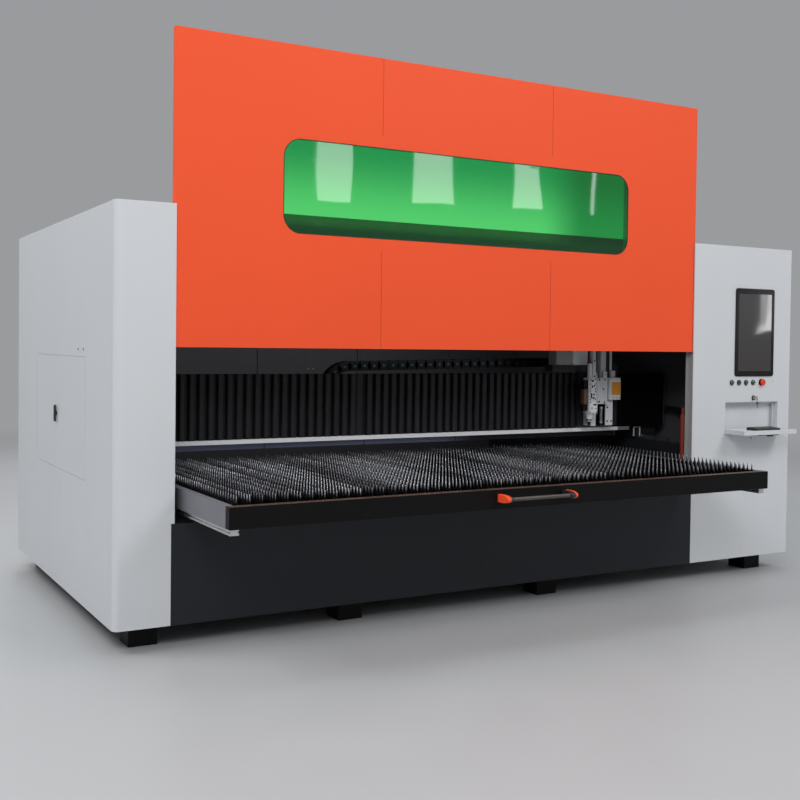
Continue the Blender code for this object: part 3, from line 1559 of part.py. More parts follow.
def head_plate():
    """The plate that carries the head: a tall strip across a wider middle, which the head is bolted to."""
    left = HEAD_PLATE_LEFT
    step = left + HEAD_PLATE_TALL
    right = left + HEAD_PLATE_WIDTH
    wide_low = HEAD_PLATE_STEP_LOW
    wide_top = wide_low + HEAD_PLATE_MIDDLE
    top = HEAD_PLATE_LOW + HEAD_PLATE_HEIGHT
    outline = [
        (left - HEAD_PLATE_WING, wide_low),
        (left, wide_low),
        (left, HEAD_PLATE_LOW),
        (step, HEAD_PLATE_LOW),
        (step, wide_low),
        (right, wide_low),
        (right, wide_top),
        (step, wide_top),
        (step, top),
        (left, top),
        (left, wide_top),
        (left - HEAD_PLATE_WING, wide_top),
    ]
    return steel(
        prism("head_plate", outline, "y", HEAD_PLATE_FRONT, HEAD_PLATE_FRONT + HEAD_PLATE_DEPTH)
    )


def laser_head():
    """The collimator and focus housing, with the wider cover-glass block below."""
    right = LASER_LEFT + LASER_WIDTH
    upper = prism(
        "laser_head",
        chamfered_rectangle(LASER_LEFT, right, LASER_FRONT, LASER_REAR, LASER_CHAMFER),
        "z",
        LASER_BLOCK_TOP - BOX_BEVEL,
        LASER_TOP,
    )
    lower = box(
        "block",
        (LASER_LEFT, LASER_LEFT + LASER_BLOCK_WIDTH),
        (LASER_FRONT - BOX_BEVEL, LASER_REAR),
        (LASER_LOW, LASER_BLOCK_TOP),
    )
    return light_grey(join(upper, lower))


def nozzle():
    top = LASER_LOW - TOUCH
    tip = LASER_LOW - NOZZLE_LENGTH
    profile = [
        (NOZZLE_RING_RADIUS, top),
        (NOZZLE_RING_RADIUS, top - NOZZLE_RING),
        (NOZZLE_BODY_RADIUS, top - NOZZLE_RING),
        (NOZZLE_BODY_RADIUS, tip + NOZZLE_CONE),
        (NOZZLE_TIP_RADIUS, tip),
    ]
    return steel(turned("nozzle", profile, "z", (LASER_MIDDLE, LASER_Y)))


def fibre_connector():
    low = LASER_TOP + TOUCH
    profile = [
        (CONNECTOR_RADIUS, low),
        (CONNECTOR_RADIUS, low + CONNECTOR_LENGTH),
        (CONNECTOR_NECK_RADIUS, low + CONNECTOR_LENGTH + CONNECTOR_NECK / 3),
        (CONNECTOR_NECK_RADIUS, low + CONNECTOR_LENGTH + CONNECTOR_NECK),
    ]
    return steel(turned("fibre_connector", profile, "z", (LASER_MIDDLE, LASER_Y)))


def valve_block():
    block = box(
        "valve_block",
        (LASER_LEFT - TOUCH - VALVE_WIDTH, LASER_LEFT - TOUCH),
        (LASER_FRONT, LASER_FRONT + VALVE_DEPTH),
        (LASER_BLOCK_TOP, LASER_BLOCK_TOP + VALVE_HEIGHT),
    )
    return paint(soften(block, BOX_BEVEL), "copper_block", (0.45, 0.22, 0.10), 0.4, 0.6)


# Building the machine.

for old in list(bpy.data.objects):
    bpy.data.objects.remove(old)

body("machine", None, (-(LEFT - SERVICE_HANDLE_DEPTH + RIGHT) / 2, -(HANDLE_FRONT + MACHINE_DEPTH) / 2, 0))
body("door", "machine", (0, DOOR_FACE, DOOR_LOW))
body("table", "machine", (0, TABLE_FRONT, TABLE_LOW))
body("gantry", "machine", (0, BEAM_FRONT, BED_TOP))
body("x_chain_slide", "gantry", (X_CHAIN_BEND_X, BEAM_REAR, X_CHAIN_TOP))
body("y_chain_slide", "gantry", (Y_CHAIN_LEFT, Y_CHAIN_BEND_Y, Y_CHAIN_TOP))
body("carriage", "gantry", (CARRIAGE_LEFT, BEAM_FRONT, X_RAIL_LOWER))
body("head", "carriage", (LASER_MIDDLE, Z_BODY_FRONT, LASER_LOW))
body("service_front", "machine", (LEFT, SERVICE_FRONT + SERVICE_HINGE_GAP, SERVICE_LOW))
body("service_rear", "machine", (LEFT, SERVICE_REAR - SERVICE_HINGE_GAP, SERVICE_LOW))
body("service_latch", "service_front", (LEFT, SERVICE_HANDLE_Y, SERVICE_HANDLE_Z))
body("tray", "machine", (RECESS_LEFT, HINGE_Y, HINGE_Z))
body("stop", "machine", (HALF + STOP_SIDE, 0, STOP_Z))
body("key", "machine", (HALF + LOCK_SIDE, 0, LOCK_Z))

carry("machine", tower_front(), tower_side(), cabinet_front(), cabinet_side(), screen())
carry("machine", roof(), partition(), back_wall(), front_panel())
carry("machine", base_frame("base_frame_front", BASE_FRONT, 1))
carry("machine", base_frame("base_frame_rear", BASE_REAR, -1))
carry("machine", bed_beam("bed_left", -1), bed_beam("bed_right", 1), slag_tray())
carry("machine", y_rail("y_rail_left", -1), y_rail("y_rail_right", 1))
carry("machine", door_guide("door_guide_left", -1), door_guide("door_guide_right", 1), door_cylinder())
carry("door", door_skin(), door_window(), door_frame())
carry("table", table_frame(), table_front_beam(), slat_bed(), table_handle())
carry("table", table_rail("table_rail_left", -1), table_rail("table_rail_right", 1))
carry("gantry", gantry_beam(), gantry_end("gantry_end_left", -1), gantry_end("gantry_end_right", 1))
carry("gantry", x_rail("x_rail_upper", X_RAIL_UPPER), x_rail("x_rail_lower", X_RAIL_LOWER), gantry_cover())
carry("gantry", pleats("bellows_left", BELLOWS_LEFT, CARRIAGE_LEFT - TOUCH, pleat_count()))
carry("gantry", pleats("bellows_right", CARRIAGE_RIGHT + TOUCH, BELLOWS_RIGHT, PACKED_PLEATS))
carry("x_chain_slide", x_chain())
carry("y_chain_slide", y_chain())
carry("carriage", carriage_plate(), cable_box(), gas_box(), z_axis_body(), z_motor(), sensor_box())
carry("head", head_plate(), laser_head(), nozzle(), fibre_connector(), valve_block())
carry(
    "service_front",
    service_leaf(
        "service_door_front", SERVICE_FRONT + SERVICE_HINGE_GAP, SERVICE_SPLIT - SERVICE_GAP / 2
    ),
)
carry(
    "service_rear",
    service_leaf("service_door_rear", SERVICE_SPLIT + SERVICE_GAP / 2, SERVICE_REAR - SERVICE_HINGE_GAP),
)
carry("service_latch", service_handle())
carry("tray", keyboard_tray(), keyboard())
for index, button_x in enumerate(button_places(), 1):
    body(f"press_{index}", "machine", (button_x, 0, BUTTON_Z))
    carry(f"press_{index}", button(index, button_x))
carry("stop", stop_button())
carry("key", lock_key())
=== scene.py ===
"""Looks for the sheet metal laser cutter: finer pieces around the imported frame, materials, light and camera."""

import math
import random

import bmesh
import bpy
from mathutils import Matrix, Vector


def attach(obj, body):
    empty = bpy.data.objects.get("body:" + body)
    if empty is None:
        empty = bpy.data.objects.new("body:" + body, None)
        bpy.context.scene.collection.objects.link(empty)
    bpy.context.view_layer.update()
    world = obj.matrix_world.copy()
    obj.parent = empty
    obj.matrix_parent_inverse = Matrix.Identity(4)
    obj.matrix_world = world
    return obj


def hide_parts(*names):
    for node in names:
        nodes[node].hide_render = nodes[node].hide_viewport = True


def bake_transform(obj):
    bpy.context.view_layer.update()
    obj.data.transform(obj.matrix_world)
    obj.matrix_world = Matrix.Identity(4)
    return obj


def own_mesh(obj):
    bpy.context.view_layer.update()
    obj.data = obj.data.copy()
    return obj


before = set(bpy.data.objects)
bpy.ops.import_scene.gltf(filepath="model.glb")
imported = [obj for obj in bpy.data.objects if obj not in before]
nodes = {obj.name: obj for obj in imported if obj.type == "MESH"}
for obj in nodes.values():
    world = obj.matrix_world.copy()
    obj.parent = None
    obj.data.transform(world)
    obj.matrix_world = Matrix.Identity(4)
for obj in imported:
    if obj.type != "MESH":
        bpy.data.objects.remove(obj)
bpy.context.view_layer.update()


# Tower on the left.
# Folded from 3 mm steel sheet and powder coated white: a front sheet with a rounded corner and a hem
# beside the door, a flat side sheet behind it, and two service doors. Places count from the middle
# of the opening, at floor level.
SHIFT = Vector((-0.26475, -0.75835, 0.0))
GAP = 0.0003
LEFT, HALF, TOP, BOTTOM = -1.858, 1.58, 2.006, 0.1034


class Level:
    def __init__(self, finish, socket):
        self.finish = finish
        self.socket = socket

    def _math(self, operation, other, swap=False):
        pair = (other, self) if swap else (self, other)
        return self.finish.node("ShaderNodeMath", {0: pair[0], 1: pair[1]}, operation=operation)

    def __add__(self, other):
        return self._math("ADD", other)

    def __sub__(self, other):
        return self._math("SUBTRACT", other)

    def __rsub__(self, other):
        return self._math("SUBTRACT", other, swap=True)

    def __mul__(self, other):
        return self._math("MULTIPLY", other)

    def above(self, other):
        return self._math("GREATER_THAN", other)

    def largest(self, other):
        return self._math("MAXIMUM", other)

    def fade(self, low, high, to_low=0.0, to_high=1.0):
        """Runs smoothly from to_low to to_high while the level runs from low to high."""
        settings = {0: self, 1: low, 2: high, 3: to_low, 4: to_high}
        return self.finish.node("ShaderNodeMapRange", settings, interpolation_type="SMOOTHSTEP")

    __radd__ = __add__
    __rmul__ = __mul__


class Finish:
    def __init__(self, name, colour, roughness, metallic=0.0, **sockets):
        self.material = bpy.data.materials.new(name)
        self.material.use_nodes = True
        self.tree = self.material.node_tree
        self.shader = self.tree.nodes["Principled BSDF"]
        self.set("Base Color", (*colour, 1.0))
        self.set("Roughness", roughness)
        self.set("Metallic", metallic)
        for socket, value in sockets.items():
            self.set(socket.replace("_", " "), value)

    def set(self, socket, value):
        target = self.shader.inputs[socket]
        if isinstance(value, Level):
            self.tree.links.new(value.socket, target)
        else:
            target.default_value = value

    def node(self, kind, inputs=None, output=0, **settings):
        """Adds any node. Inputs are numbers, vectors or levels by socket name or place."""
        new = self.tree.nodes.new(kind)
        for key, value in settings.items():
            setattr(new, key, value)
        for key, value in (inputs or {}).items():
            if isinstance(value, Level):
                self.tree.links.new(value.socket, new.inputs[key])
            else:
                new.inputs[key].default_value = value
        return Level(self, new.outputs[output])

    def spot(self, stretch=(1.0, 1.0, 1.0)):
        place = self.node("ShaderNodeTexCoord", output="Object")
        return self.node("ShaderNodeMapping", {"Vector": place, "Scale": stretch})

    def along(self, axis):
        place = self.node("ShaderNodeTexCoord", output="Object")
        return self.node("ShaderNodeSeparateXYZ", {0: place}, output="XYZ".index(axis))

    def noise(self, scale, detail=2.0, roughness=0.5, stretch=(1.0, 1.0, 1.0)):
        settings = {"Vector": self.spot(stretch), "Scale": scale, "Detail": detail, "Roughness": roughness}
        return self.node("ShaderNodeTexNoise", settings)

    def mix(self, share, first, second):
        """A colour between two colours, by a level."""
        settings = {0: share, 6: self.rgba(first), 7: self.rgba(second)}
        return self.node("ShaderNodeMix", settings, output=2, data_type="RGBA")

    def paint(self, share, first, second):
        self.set("Base Color", self.mix(share, first, second))

    def rgba(self, colour):
        return colour if isinstance(colour, Level) else (*colour, 1.0)

    def coat(self):
        """The colour laid on so far."""
        return Level(self, self.shader.inputs["Base Color"].links[0].from_socket)

    def bump(self, height, distance, strength=1.0):
        settings = {"Height": height, "Distance": distance, "Strength": strength}
        self.set("Normal", self.node("ShaderNodeBump", settings))
        return self


def tone(colour, amount):
    return tuple(min(1.0, part * amount) for part in colour)


def powder_coat(name, colour, roughness=0.42, soil=0.1, specular=0.5):
    """Sprayed and baked powder: fine orange peel, faint clouds in the shade, marks of handling low down."""
    finish = Finish(name, colour, roughness, Specular_IOR_Level=specular)
    peel = finish.noise(330.0, 2.0)
    cloud = finish.noise(1.4, 4.0, 0.55)
    rubs = finish.noise(14.0, 6.0, 0.65, (1.0, 1.0, 0.35))
    low = finish.along("Z").fade(0.1, 0.75, 1.0, 0.0)
    worn = rubs.fade(0.52, 0.8) * (low * 0.7 + 0.3) * soil
    shade = finish.mix(cloud, tone(colour, 0.955), tone(colour, 1.03))
    finish.paint(worn, shade, tone(colour, 0.62))
    finish.set("Roughness", peel * 0.1 + rubs * 0.1 + (roughness - 0.1))
    return finish.bump(peel, 0.00018, 0.55)


WHITE = (0.64, 0.655, 0.675)
white = powder_coat("white_coat", WHITE, 0.4)
ACROSS = {"x": (1, 2), "y": (0, 2), "z": (0, 1)}


def point(axis, a, b, c):
    spot = [0.0, 0.0, 0.0]
    one, two = ACROSS[axis]
    spot[one], spot[two], spot["xyz".index(axis)] = a, b, c
    return Vector(spot)


def arc(centre, radius, start, end, steps):
    turns = [math.radians(start + (end - start) * n / steps) for n in range(steps + 1)]
    return [(centre[0] + radius * math.cos(t), centre[1] + radius * math.sin(t)) for t in turns]


def offset(line, distance):
    """The line moved to its left. Its ends stay square."""
    moved = []
    for n, here in enumerate(line):
        here = Vector(here)
        before = Vector(line[max(n - 1, 0)])
        after = Vector(line[min(n + 1, len(line) - 1)])
        first = (here - before).normalized() if n else (after - here).normalized()
        second = (after - here).normalized() if n < len(line) - 1 else first
        side = Vector((-first.y - second.y, first.x + second.x)).normalized()
        moved.append(tuple(here + side * distance / side.dot(Vector((-first.y, first.x)))))
    return moved


def folded(line, thickness):
    return line + offset(line, thickness)[::-1]


def extrude(bm, outline, axis, low, high, holes=()):
    """A prism. Holes are further outlines, listed like the outer one."""
    rings = [outline, *holes]
    ends = []
    for level in (low, high):
        verts = [[bm.verts.new(point(axis, a, b, level)) for a, b in ring] for ring in rings]
        ends.append(verts)
    for near, far in zip(*ends):
        for n, vert in enumerate(near):
            m = (n + 1) % len(near)
            bm.faces.new((vert, near[m], far[m], far[n]))
    for verts in ends:
        if holes:
            edges = [bm.edges.get((ring[n], ring[(n + 1) % len(ring)]))
                     for ring in verts for n in range(len(ring))]
            bmesh.ops.triangle_fill(bm, use_beauty=True, use_dissolve=True, edges=edges)
        else:
            bm.faces.new(verts[0])


def piece(name, draw, finish, body, replaces=(), bevel=0.0, segments=2, angle=40):
    """Draws a piece, rounds its edges and hangs it on its body."""
    bm = bmesh.new()
    draw(bm)
    bmesh.ops.recalc_face_normals(bm, faces=bm.faces)
    bmesh.ops.translate(bm, verts=bm.verts, vec=SHIFT)
    mesh = bpy.data.meshes.new(name)
    bm.to_mesh(mesh)
    bm.free()
    obj = bpy.data.objects.new(name, mesh)
    bpy.context.scene.collection.objects.link(obj)
    mesh.materials.append(finish.material)
    if bevel:
        soft = obj.modifiers.new("rounding", "BEVEL")
        soft.width = bevel
        soft.segments = segments
        soft.limit_method = "ANGLE"
        soft.angle_limit = math.radians(angle)
        soft.harden_normals = False
        graph = bpy.context.evaluated_depsgraph_get()
        obj.data = bpy.data.meshes.new_from_object(obj.evaluated_get(graph))
        obj.modifiers.clear()
    obj.data.shade_smooth()
    obj.data.set_sharp_from_angle(angle=math.radians(angle))
    even = obj.modifiers.new("even_shading", "WEIGHTED_NORMAL")
    even.keep_sharp = True
    if body:
        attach(obj, body)
    if replaces:
        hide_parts(*replaces)
    return obj


def repaint(finish, *names):
    for name in names:
        materials = nodes[name].data.materials
        materials.clear()
        materials.append(finish.material)


def tower_sheet(bm):
    """Bent round at its outer edge and hemmed beside the door. A notch makes room for the lower panel."""
    radius, thickness, notch, notch_top = 0.03, 0.003, -HALF - 0.0174, 0.5648
    edge = -HALF - GAP
    path = [(LEFT, 0.055)] + arc((LEFT + radius, radius), radius, 180, 270, 12)
    path += [(edge - thickness, 0), (edge, 0.0015), (edge, 0.006)]
    extrude(bm, folded(path, thickness), "z", notch_top, TOP)
    lower = [(x, y) for x, y in path if x < notch] + [(notch, 0)]
    extrude(bm, folded(lower, thickness), "z", BOTTOM, notch_top)


piece("tower_front_sheet", tower_sheet, white, "machine", ["tower_front"], 0.0006)
repaint(white, "tower_side", "service_door_front", "service_door_rear")


# Service door handle and hole plugs.
# A black moulded grip turns on a round boss in the front leaf, and two moulded plugs close spare holes
# in the side sheet above the doors.

def turn(bm, profile, axis, centre, steps=32):
    """A turned form. The profile lists (radius, place along the axis)."""
    rings = []
    for radius, level in profile:
        circle = arc(centre, max(radius, 0.0001), 0, 360 - 360 / steps, steps - 1)
        rings.append([bm.verts.new(point(axis, a, b, level)) for a, b in circle])
    for near, far in zip(rings, rings[1:]):
        for n, vert in enumerate(near):
            m = (n + 1) % steps
            bm.faces.new((vert, near[m], far[m], far[n]))
    bm.faces.new(rings[0])
    bm.faces.new(rings[-1])


def round_corners(x, z, radius, steps=10):
    (left, right), (low, high) = x, z
    line = arc((right - radius, low + radius), radius, -90, 0, steps)
    line += arc((right - radius, high - radius), radius, 0, 90, steps)
    line += arc((left + radius, high - radius), radius, 90, 180, steps)
    return line + arc((left + radius, low + radius), radius, 180, 270, steps)


def moulded(name, colour, roughness):
    """Moulded plastic or rubber with a fine grained face."""
    finish = Finish(name, colour, roughness)
    grain = finish.noise(900.0, 3.0, 0.6)
    dust = finish.noise(17.0, 5.0, 0.65)
    finish.paint(dust.fade(0.45, 0.85) * 0.5, colour, tone(colour, 1.9))
    finish.set("Roughness", grain * 0.16 + dust * 0.1 + (roughness - 0.12))
    return finish.bump(grain, 0.0001, 0.6)


plastic = moulded("black_plastic", (0.014, 0.014, 0.015), 0.42)


def service_handle(bm):
    y, z = 1.135, 1.002
    turn(bm, [(0.011, LEFT - GAP), (0.011, LEFT - 0.004), (0.008, LEFT - 0.007)], "x", (y, z))
    grip = round_corners((y - 0.011, y + 0.011), (z - 0.045, z + 0.045), 0.0105, 8)
    slim = round_corners((y - 0.009, y + 0.009), (z - 0.043, z + 0.043), 0.0085, 8)
    extrude(bm, grip, "x", LEFT - 0.012, LEFT - 0.006)
    extrude(bm, slim, "x", LEFT - 0.016, LEFT - 0.0118)


piece("service_turn_handle", service_handle, plastic, "service_latch", ["service_handle"],
      0.0012)


def side_plugs(bm):
    for y in (0.556, 0.664):
        turn(bm, [(0.006, LEFT - GAP), (0.006, LEFT - 0.0012), (0.004, LEFT - 0.0018)], "x", (y, 1.344), 20)


piece("side_hole_plugs", side_plugs, plastic, "machine")


# Roof.
# White coated sheets in two rows, laid edge to edge on the frame and held down by zinc plated button heads
# along every joint. Below the top face, on the underside and the edges, they are painted near black as painted
# shade.
RIGHT, REAR = 2.4035, 2.207
SHEET_EDGES = (-0.93, 0.11, 1.15)


def two_sided(finish, axis, limit, colour):
    """Gives one side of a sheet another colour, beyond a limit along an axis."""
    beyond = finish.along(axis).above(limit)
    finish.paint(beyond, finish.coat(), colour)


# Painted shade: all but the top face of the roof is painted near black.
roof_coat_with_painted_shade = powder_coat("roof_coat_with_painted_shade", (0.016, 0.017, 0.021), 0.5, 0.2)
two_sided(roof_coat_with_painted_shade, "Z", TOP - 0.0015, WHITE)
repaint(roof_coat_with_painted_shade, "roof")


def slab(bm, x, y, z):
    corners = [(x[0], y[0]), (x[1], y[0]), (x[1], y[1]), (x[0], y[1])]
    extrude(bm, corners, "z", *z)


def roof_seams(bm):
    """Narrow joints between the roof sheets."""
    half, across, level = 0.0012, 1.1412, (TOP + 0.0002, TOP + 0.0006)
    for x in SHEET_EDGES:
        slab(bm, (x - half, x + half), (0.12, REAR - 0.003), level)
    slab(bm, (LEFT + 0.004, RIGHT - 0.004), (across - half, across + half), level)


def screw_head(bm, axis, centre, level, outward, radius):
    """A button head with a hexagon socket."""
    high = level + outward * radius * 0.55
    rim = [(radius, level), (radius, level + outward * radius * 0.2), (radius * 0.72, high)]
    turn(bm, rim + [(radius * 0.42, high), (radius * 0.4, level + outward * radius * 0.15)], axis, centre, 16)


def roof_screws(bm):
    """Button heads along the edges of the roof sheets."""
    for x in (-1.835, -0.95, -0.91, 0.09, 0.13, 1.13, 1.17, 2.38):
        for n in range(6):
            screw_head(bm, "z", (x, 0.19 + n * 0.39), TOP + GAP, 1, 0.0065)


joint_shade = powder_coat("joint_shade", tone(WHITE, 0.22), 0.6, 0.0)


def bare_metal(name, colour, roughness=0.34, grain=(1.0, 40.0, 40.0), stain=0.25):
    """Drawn or ground metal: fine lines along the part, with oil stains that dull it."""
    finish = Finish(name, colour, roughness, 1.0)
    lines = finish.noise(38.0, 5.0, 0.6, grain)
    cloud = finish.noise(11.0, 5.0, 0.6)
    dulled = cloud.fade(0.4, 0.75) * stain + lines * 0.15
    finish.paint(dulled, colour, tone(colour, 0.45))
    finish.set("Roughness", lines * 0.22 + cloud * 0.16 + (roughness - 0.16))
    return finish.bump(lines, 0.00012, 0.5)


galvanised = bare_metal("galvanised", (0.6, 0.6, 0.58), 0.42, (3.0, 3.0, 0.6), 0.2)
piece("roof_seams", roof_seams, joint_shade, "machine")
piece("roof_screws", roof_screws, galvanised, "machine")


# Back wall and partition.
# Riveted steel sheets, white outside and dark inside. Their joints are closed and their rivets flush,
# so both lie in the coat and nothing stands out from the wall.

def sheet_joints(finish, across, first, pitch, upright, level):
    """Closed joints and flush rivets of a sheeted wall: upright joints at a pitch, and one level joint."""
    half_width, radius, inset, spacing = 0.0013, 0.0055, 0.02, 0.304

    def from_nearest(axis, place, step):
        past = {0: finish.along(axis) - (place + step / 2), 1: step / 2}
        return step / 2 - finish.node("ShaderNodeMath", past, operation="PINGPONG")

    def rivets(aside, along):
        return (radius * radius - aside * aside - along * along).above(0.0)

    side = from_nearest(across, first, pitch)
    height = finish.node("ShaderNodeMath", {0: finish.along(upright) - level}, operation="ABSOLUTE")
    joint = (half_width - side).largest(half_width - height).above(0.0)
    upright_row = rivets(side - inset, from_nearest(upright, level + spacing / 2, spacing))
    level_row = rivets(height - inset, from_nearest(across, first + pitch / 6, pitch / 3))
    riveted = finish.mix(upright_row.largest(level_row), finish.coat(), (0.36, 0.37, 0.38))
    finish.paint(joint, riveted, (0.11, 0.11, 0.12))


wall = powder_coat("wall_coat", (0.085, 0.082, 0.094), 0.5, 0.15, 0.25)
two_sided(wall, "Y", REAR - 0.0008 + SHIFT.y, WHITE)
sheet_joints(wall, "X", 0.11 + SHIFT.x, 1.04, "Z", 1.056)
repaint(wall, "back_wall", "partition")


# Control cabinet.
# Its front sheet is folded like the tower's and carries the screen, the buttons and the keyboard recess;
# the side sheet is riveted like the back wall. Two moulded plugs fill spare holes.
repaint(white, "cabinet_front")
cabinet_white = powder_coat("cabinet_coat", WHITE, 0.4)
sheet_joints(cabinet_white, "Y", 1.141 + SHIFT.y, 1.066, "Z", 1.056)
repaint(cabinet_white, "cabinet_side")


def cabinet_plugs(bm):
    for x, z, radius in ((2.2542, 1.1852, 0.0028), (2.0747, 0.8345, 0.0048)):
        turn(bm, [(radius, -GAP), (radius, -0.001), (radius * 0.6, -0.0016)], "y", (x, z), 18)


piece("cabinet_hole_plugs", cabinet_plugs, plastic, "machine")


# Lower front panel and base tubes.
# A dark powder coated panel closes the front under the table. The machine stands on two black painted tubes
# with four welded feet each.
DARK = (0.015, 0.0163, 0.0205)
dark = powder_coat("dark_coat", DARK, 0.48, 0.3, 0.25)
repaint(dark, "front_panel")
BLACK = (0.003, 0.003, 0.0034)
black = powder_coat("black_coat", BLACK, 0.46, 0.35, 0.14)
repaint(black, "base_frame_front", "base_frame_rear")


# Orange door skin.
# Thin sheet folded back on all four sides, sprayed orange, with a rounded window hole. Four short joints
# show where its sheets meet above and below the window.
ORANGE = (0.905, 0.09, 0.022)
orange = powder_coat("orange_coat", ORANGE, 0.56, 0.04, 0.3)
DOOR_LOW, DOOR_TOP = 1.3615, 2.7995
WINDOW_X, WINDOW_Z, WINDOW_R = (-1.06, 1.065), (1.907, 2.358), 0.09


def window_outline(inset=0.0, radius=WINDOW_R):
    (left, right), (low, high) = WINDOW_X, WINDOW_Z
    return round_corners((left + inset, right - inset), (low + inset, high - inset), radius, 16)


def door_skin(bm):
    width, sheet, depth = HALF + 0.008, 0.002, (0.012, 0.04)
    outer = round_corners((-width, width), (DOOR_LOW, DOOR_TOP), sheet, 2)
    extrude(bm, outer, "y", 0.01, 0.012, [window_outline()])
    for side in (-1, 1):
        slab(bm, sorted((side * width, side * (width - sheet))), depth, (DOOR_LOW + sheet, DOOR_TOP - sheet))
    slab(bm, (-width, width), depth, (DOOR_LOW, DOOR_LOW + sheet))
    slab(bm, (-width, width), depth, (DOOR_TOP - sheet, DOOR_TOP))


def door_seams(bm):
    for x in (-0.528, 0.522):
        for z in ((DOOR_LOW + 0.002, 1.847), (2.418, DOOR_TOP - 0.002)):
            slab(bm, (x - 0.0011, x + 0.0011), (0.0094, 0.0099), z)


seam_shade = powder_coat("seam_shade", tone(ORANGE, 0.45), 0.6, 0.0)
piece("door_orange_skin", door_skin, orange, "door", ["door_skin"], 0.0006)
piece("door_skin_seams", door_seams, seam_shade, "door")


# Door window.
# A green laser safety pane of clear acrylic, lightly scratched, held from behind and edged
# by a thin moulded strip. Its green is painted darker towards the top and the right end, and along the bottom
# edge, as painted shade.

def window_gasket(bm):
    extrude(bm, window_outline(0.0003), "y", 0.0092, 0.012, [window_outline(0.0035, WINDOW_R - 0.003)])


def window_pane(bm):
    extrude(bm, window_outline(-0.03), "y", 0.0123, 0.0163)


window = Finish("green_window", (0.1, 0.9, 0.24), 0.03, 0.0, Transmission_Weight=0.96, IOR=1.49,
                Coat_Weight=0.1, Specular_IOR_Level=0.25)
# Painted shade: the green is painted darker towards the top and towards the right end.
rise = window.along("Z").fade(1.98, 2.35)
left_part = window.mix(rise, (0.135, 0.98, 0.23), (0.012, 0.47, 0.1))
right_part = window.mix(rise, (0.012, 0.42, 0.075), (0.002, 0.25, 0.036))
painted_shade_colour = window.mix(window.along("X").fade(0.16, 0.5), left_part, right_part)
# Painted shade: the bottom edge is painted darker, for the dark roof edge behind the pane.
window.paint(window.along("Z").fade(1.93, 1.98), (0.01, 0.62, 0.14), painted_shade_colour)
scratch = window.noise(9.0, 8.0, 0.72, (0.35, 1.0, 1.6)).fade(0.6, 0.72)
window.set("Roughness", scratch * 0.22 + 0.02)
window.set("Coat Weight", scratch * -0.08 + 0.1)
window.bump(window.noise(1.5, 1.0) + scratch * 0.002, 0.01, 0.3)
piece("window_edge_strip", window_gasket, plastic, "door", bevel=0.0004)
piece("window_pane", window_pane, window, "door", ["door_window"], 0.0008)


# Door frame, guides and damper.
# The welded frame is zinc plated and bolted behind the skin; its shoes run in two folded guides,
# and a red brown gas damper stands beside the right one.
repaint(galvanised, "door_frame")
guide_zinc = powder_coat("guide_zinc", (0.4, 0.4, 0.39), 0.38, 0.05)
repaint(guide_zinc, "door_guide_left", "door_guide_right")
tube = powder_coat("tube_coat", (0.27, 0.035, 0.022), 0.34, 0.2)
repaint(tube, "door_cylinder")


# Toothed slats.
# Fifty-three sheet steel slats stand across the table in notched carriers, each cut with a row of slim spikes.
# They are laser cut and left bare, with spatter and rust at the tips. Their colour is painted near black at the
# roots, as painted shade between the spikes, and pale at the tips, as a painted highlight that varies at random
# from slat to slat and fades towards the right as painted shade.
TOOTH_SHARES = ((0.0, 0.0092), (0.13, 0.0047), (0.45, 0.0035), (0.78, 0.0025), (1.0, 0.0005))
SLAT_COUNT, SLAT_PITCH = 53, 0.0575


def slats(bm):
    rng = random.Random(7)
    front, rear, low, root, tip, tooth = -0.5534, 0.9535, 0.669, 0.7185, 0.7568, 0.0306
    number = round((rear - front) / tooth)
    step = (rear - front) / number
    for slat in range(SLAT_COUNT):
        x = (slat - (SLAT_COUNT - 1) / 2) * SLAT_PITCH + rng.uniform(-0.0008, 0.0008)
        line = [(front, low), (rear, low), (rear, root)]
        for n in range(number - 1, -1, -1):
            middle = front + (n + 0.5) * step
            height = tip - rng.uniform(0.0, 0.0022) - root
            line += [(middle + half, root + height * share) for share, half in TOOTH_SHARES]
            line += [(middle - half, root + height * share) for share, half in TOOTH_SHARES[::-1]]
        extrude(bm, line + [(front, root)], "x", x - 0.0015, x + 0.0015)


def slat_carriers(bm):
    low, notch, top = 0.6245, 0.6745, 0.7
    for y in ((-0.5594, -0.5474), (0.9477, 0.9597)):
        slab(bm, (-1.5147, 1.5147), y, (low, notch))
        for n in range(SLAT_COUNT + 1):
            x = (n - SLAT_COUNT / 2) * SLAT_PITCH
            slab(bm, (x - 0.024, x + 0.024), y, (notch, top))


slat_steel = bare_metal("slat_steel", (0.2, 0.2, 0.21), 0.46, (30.0, 2.0, 2.0), 0.35)
slat_steel.set("Metallic", 0.75)
# Painted light: near black at the roots as painted shade between the spikes, pale at the tips as a painted
# highlight.
painted_tip_light = slat_steel.along("Z").fade(0.722, 0.755)
spatter = slat_steel.noise(160.0, 3.0, 0.7).fade(0.42, 0.62)
rust = slat_steel.noise(6.0, 6.0, 0.7).fade(0.55, 0.75)
slat_variation_and_painted_falloff = slat_steel.noise(15.0, 2.0, 0.5, (1.0, 0.04, 0.04)).fade(0.38, 0.62, 0.45, 1.45)
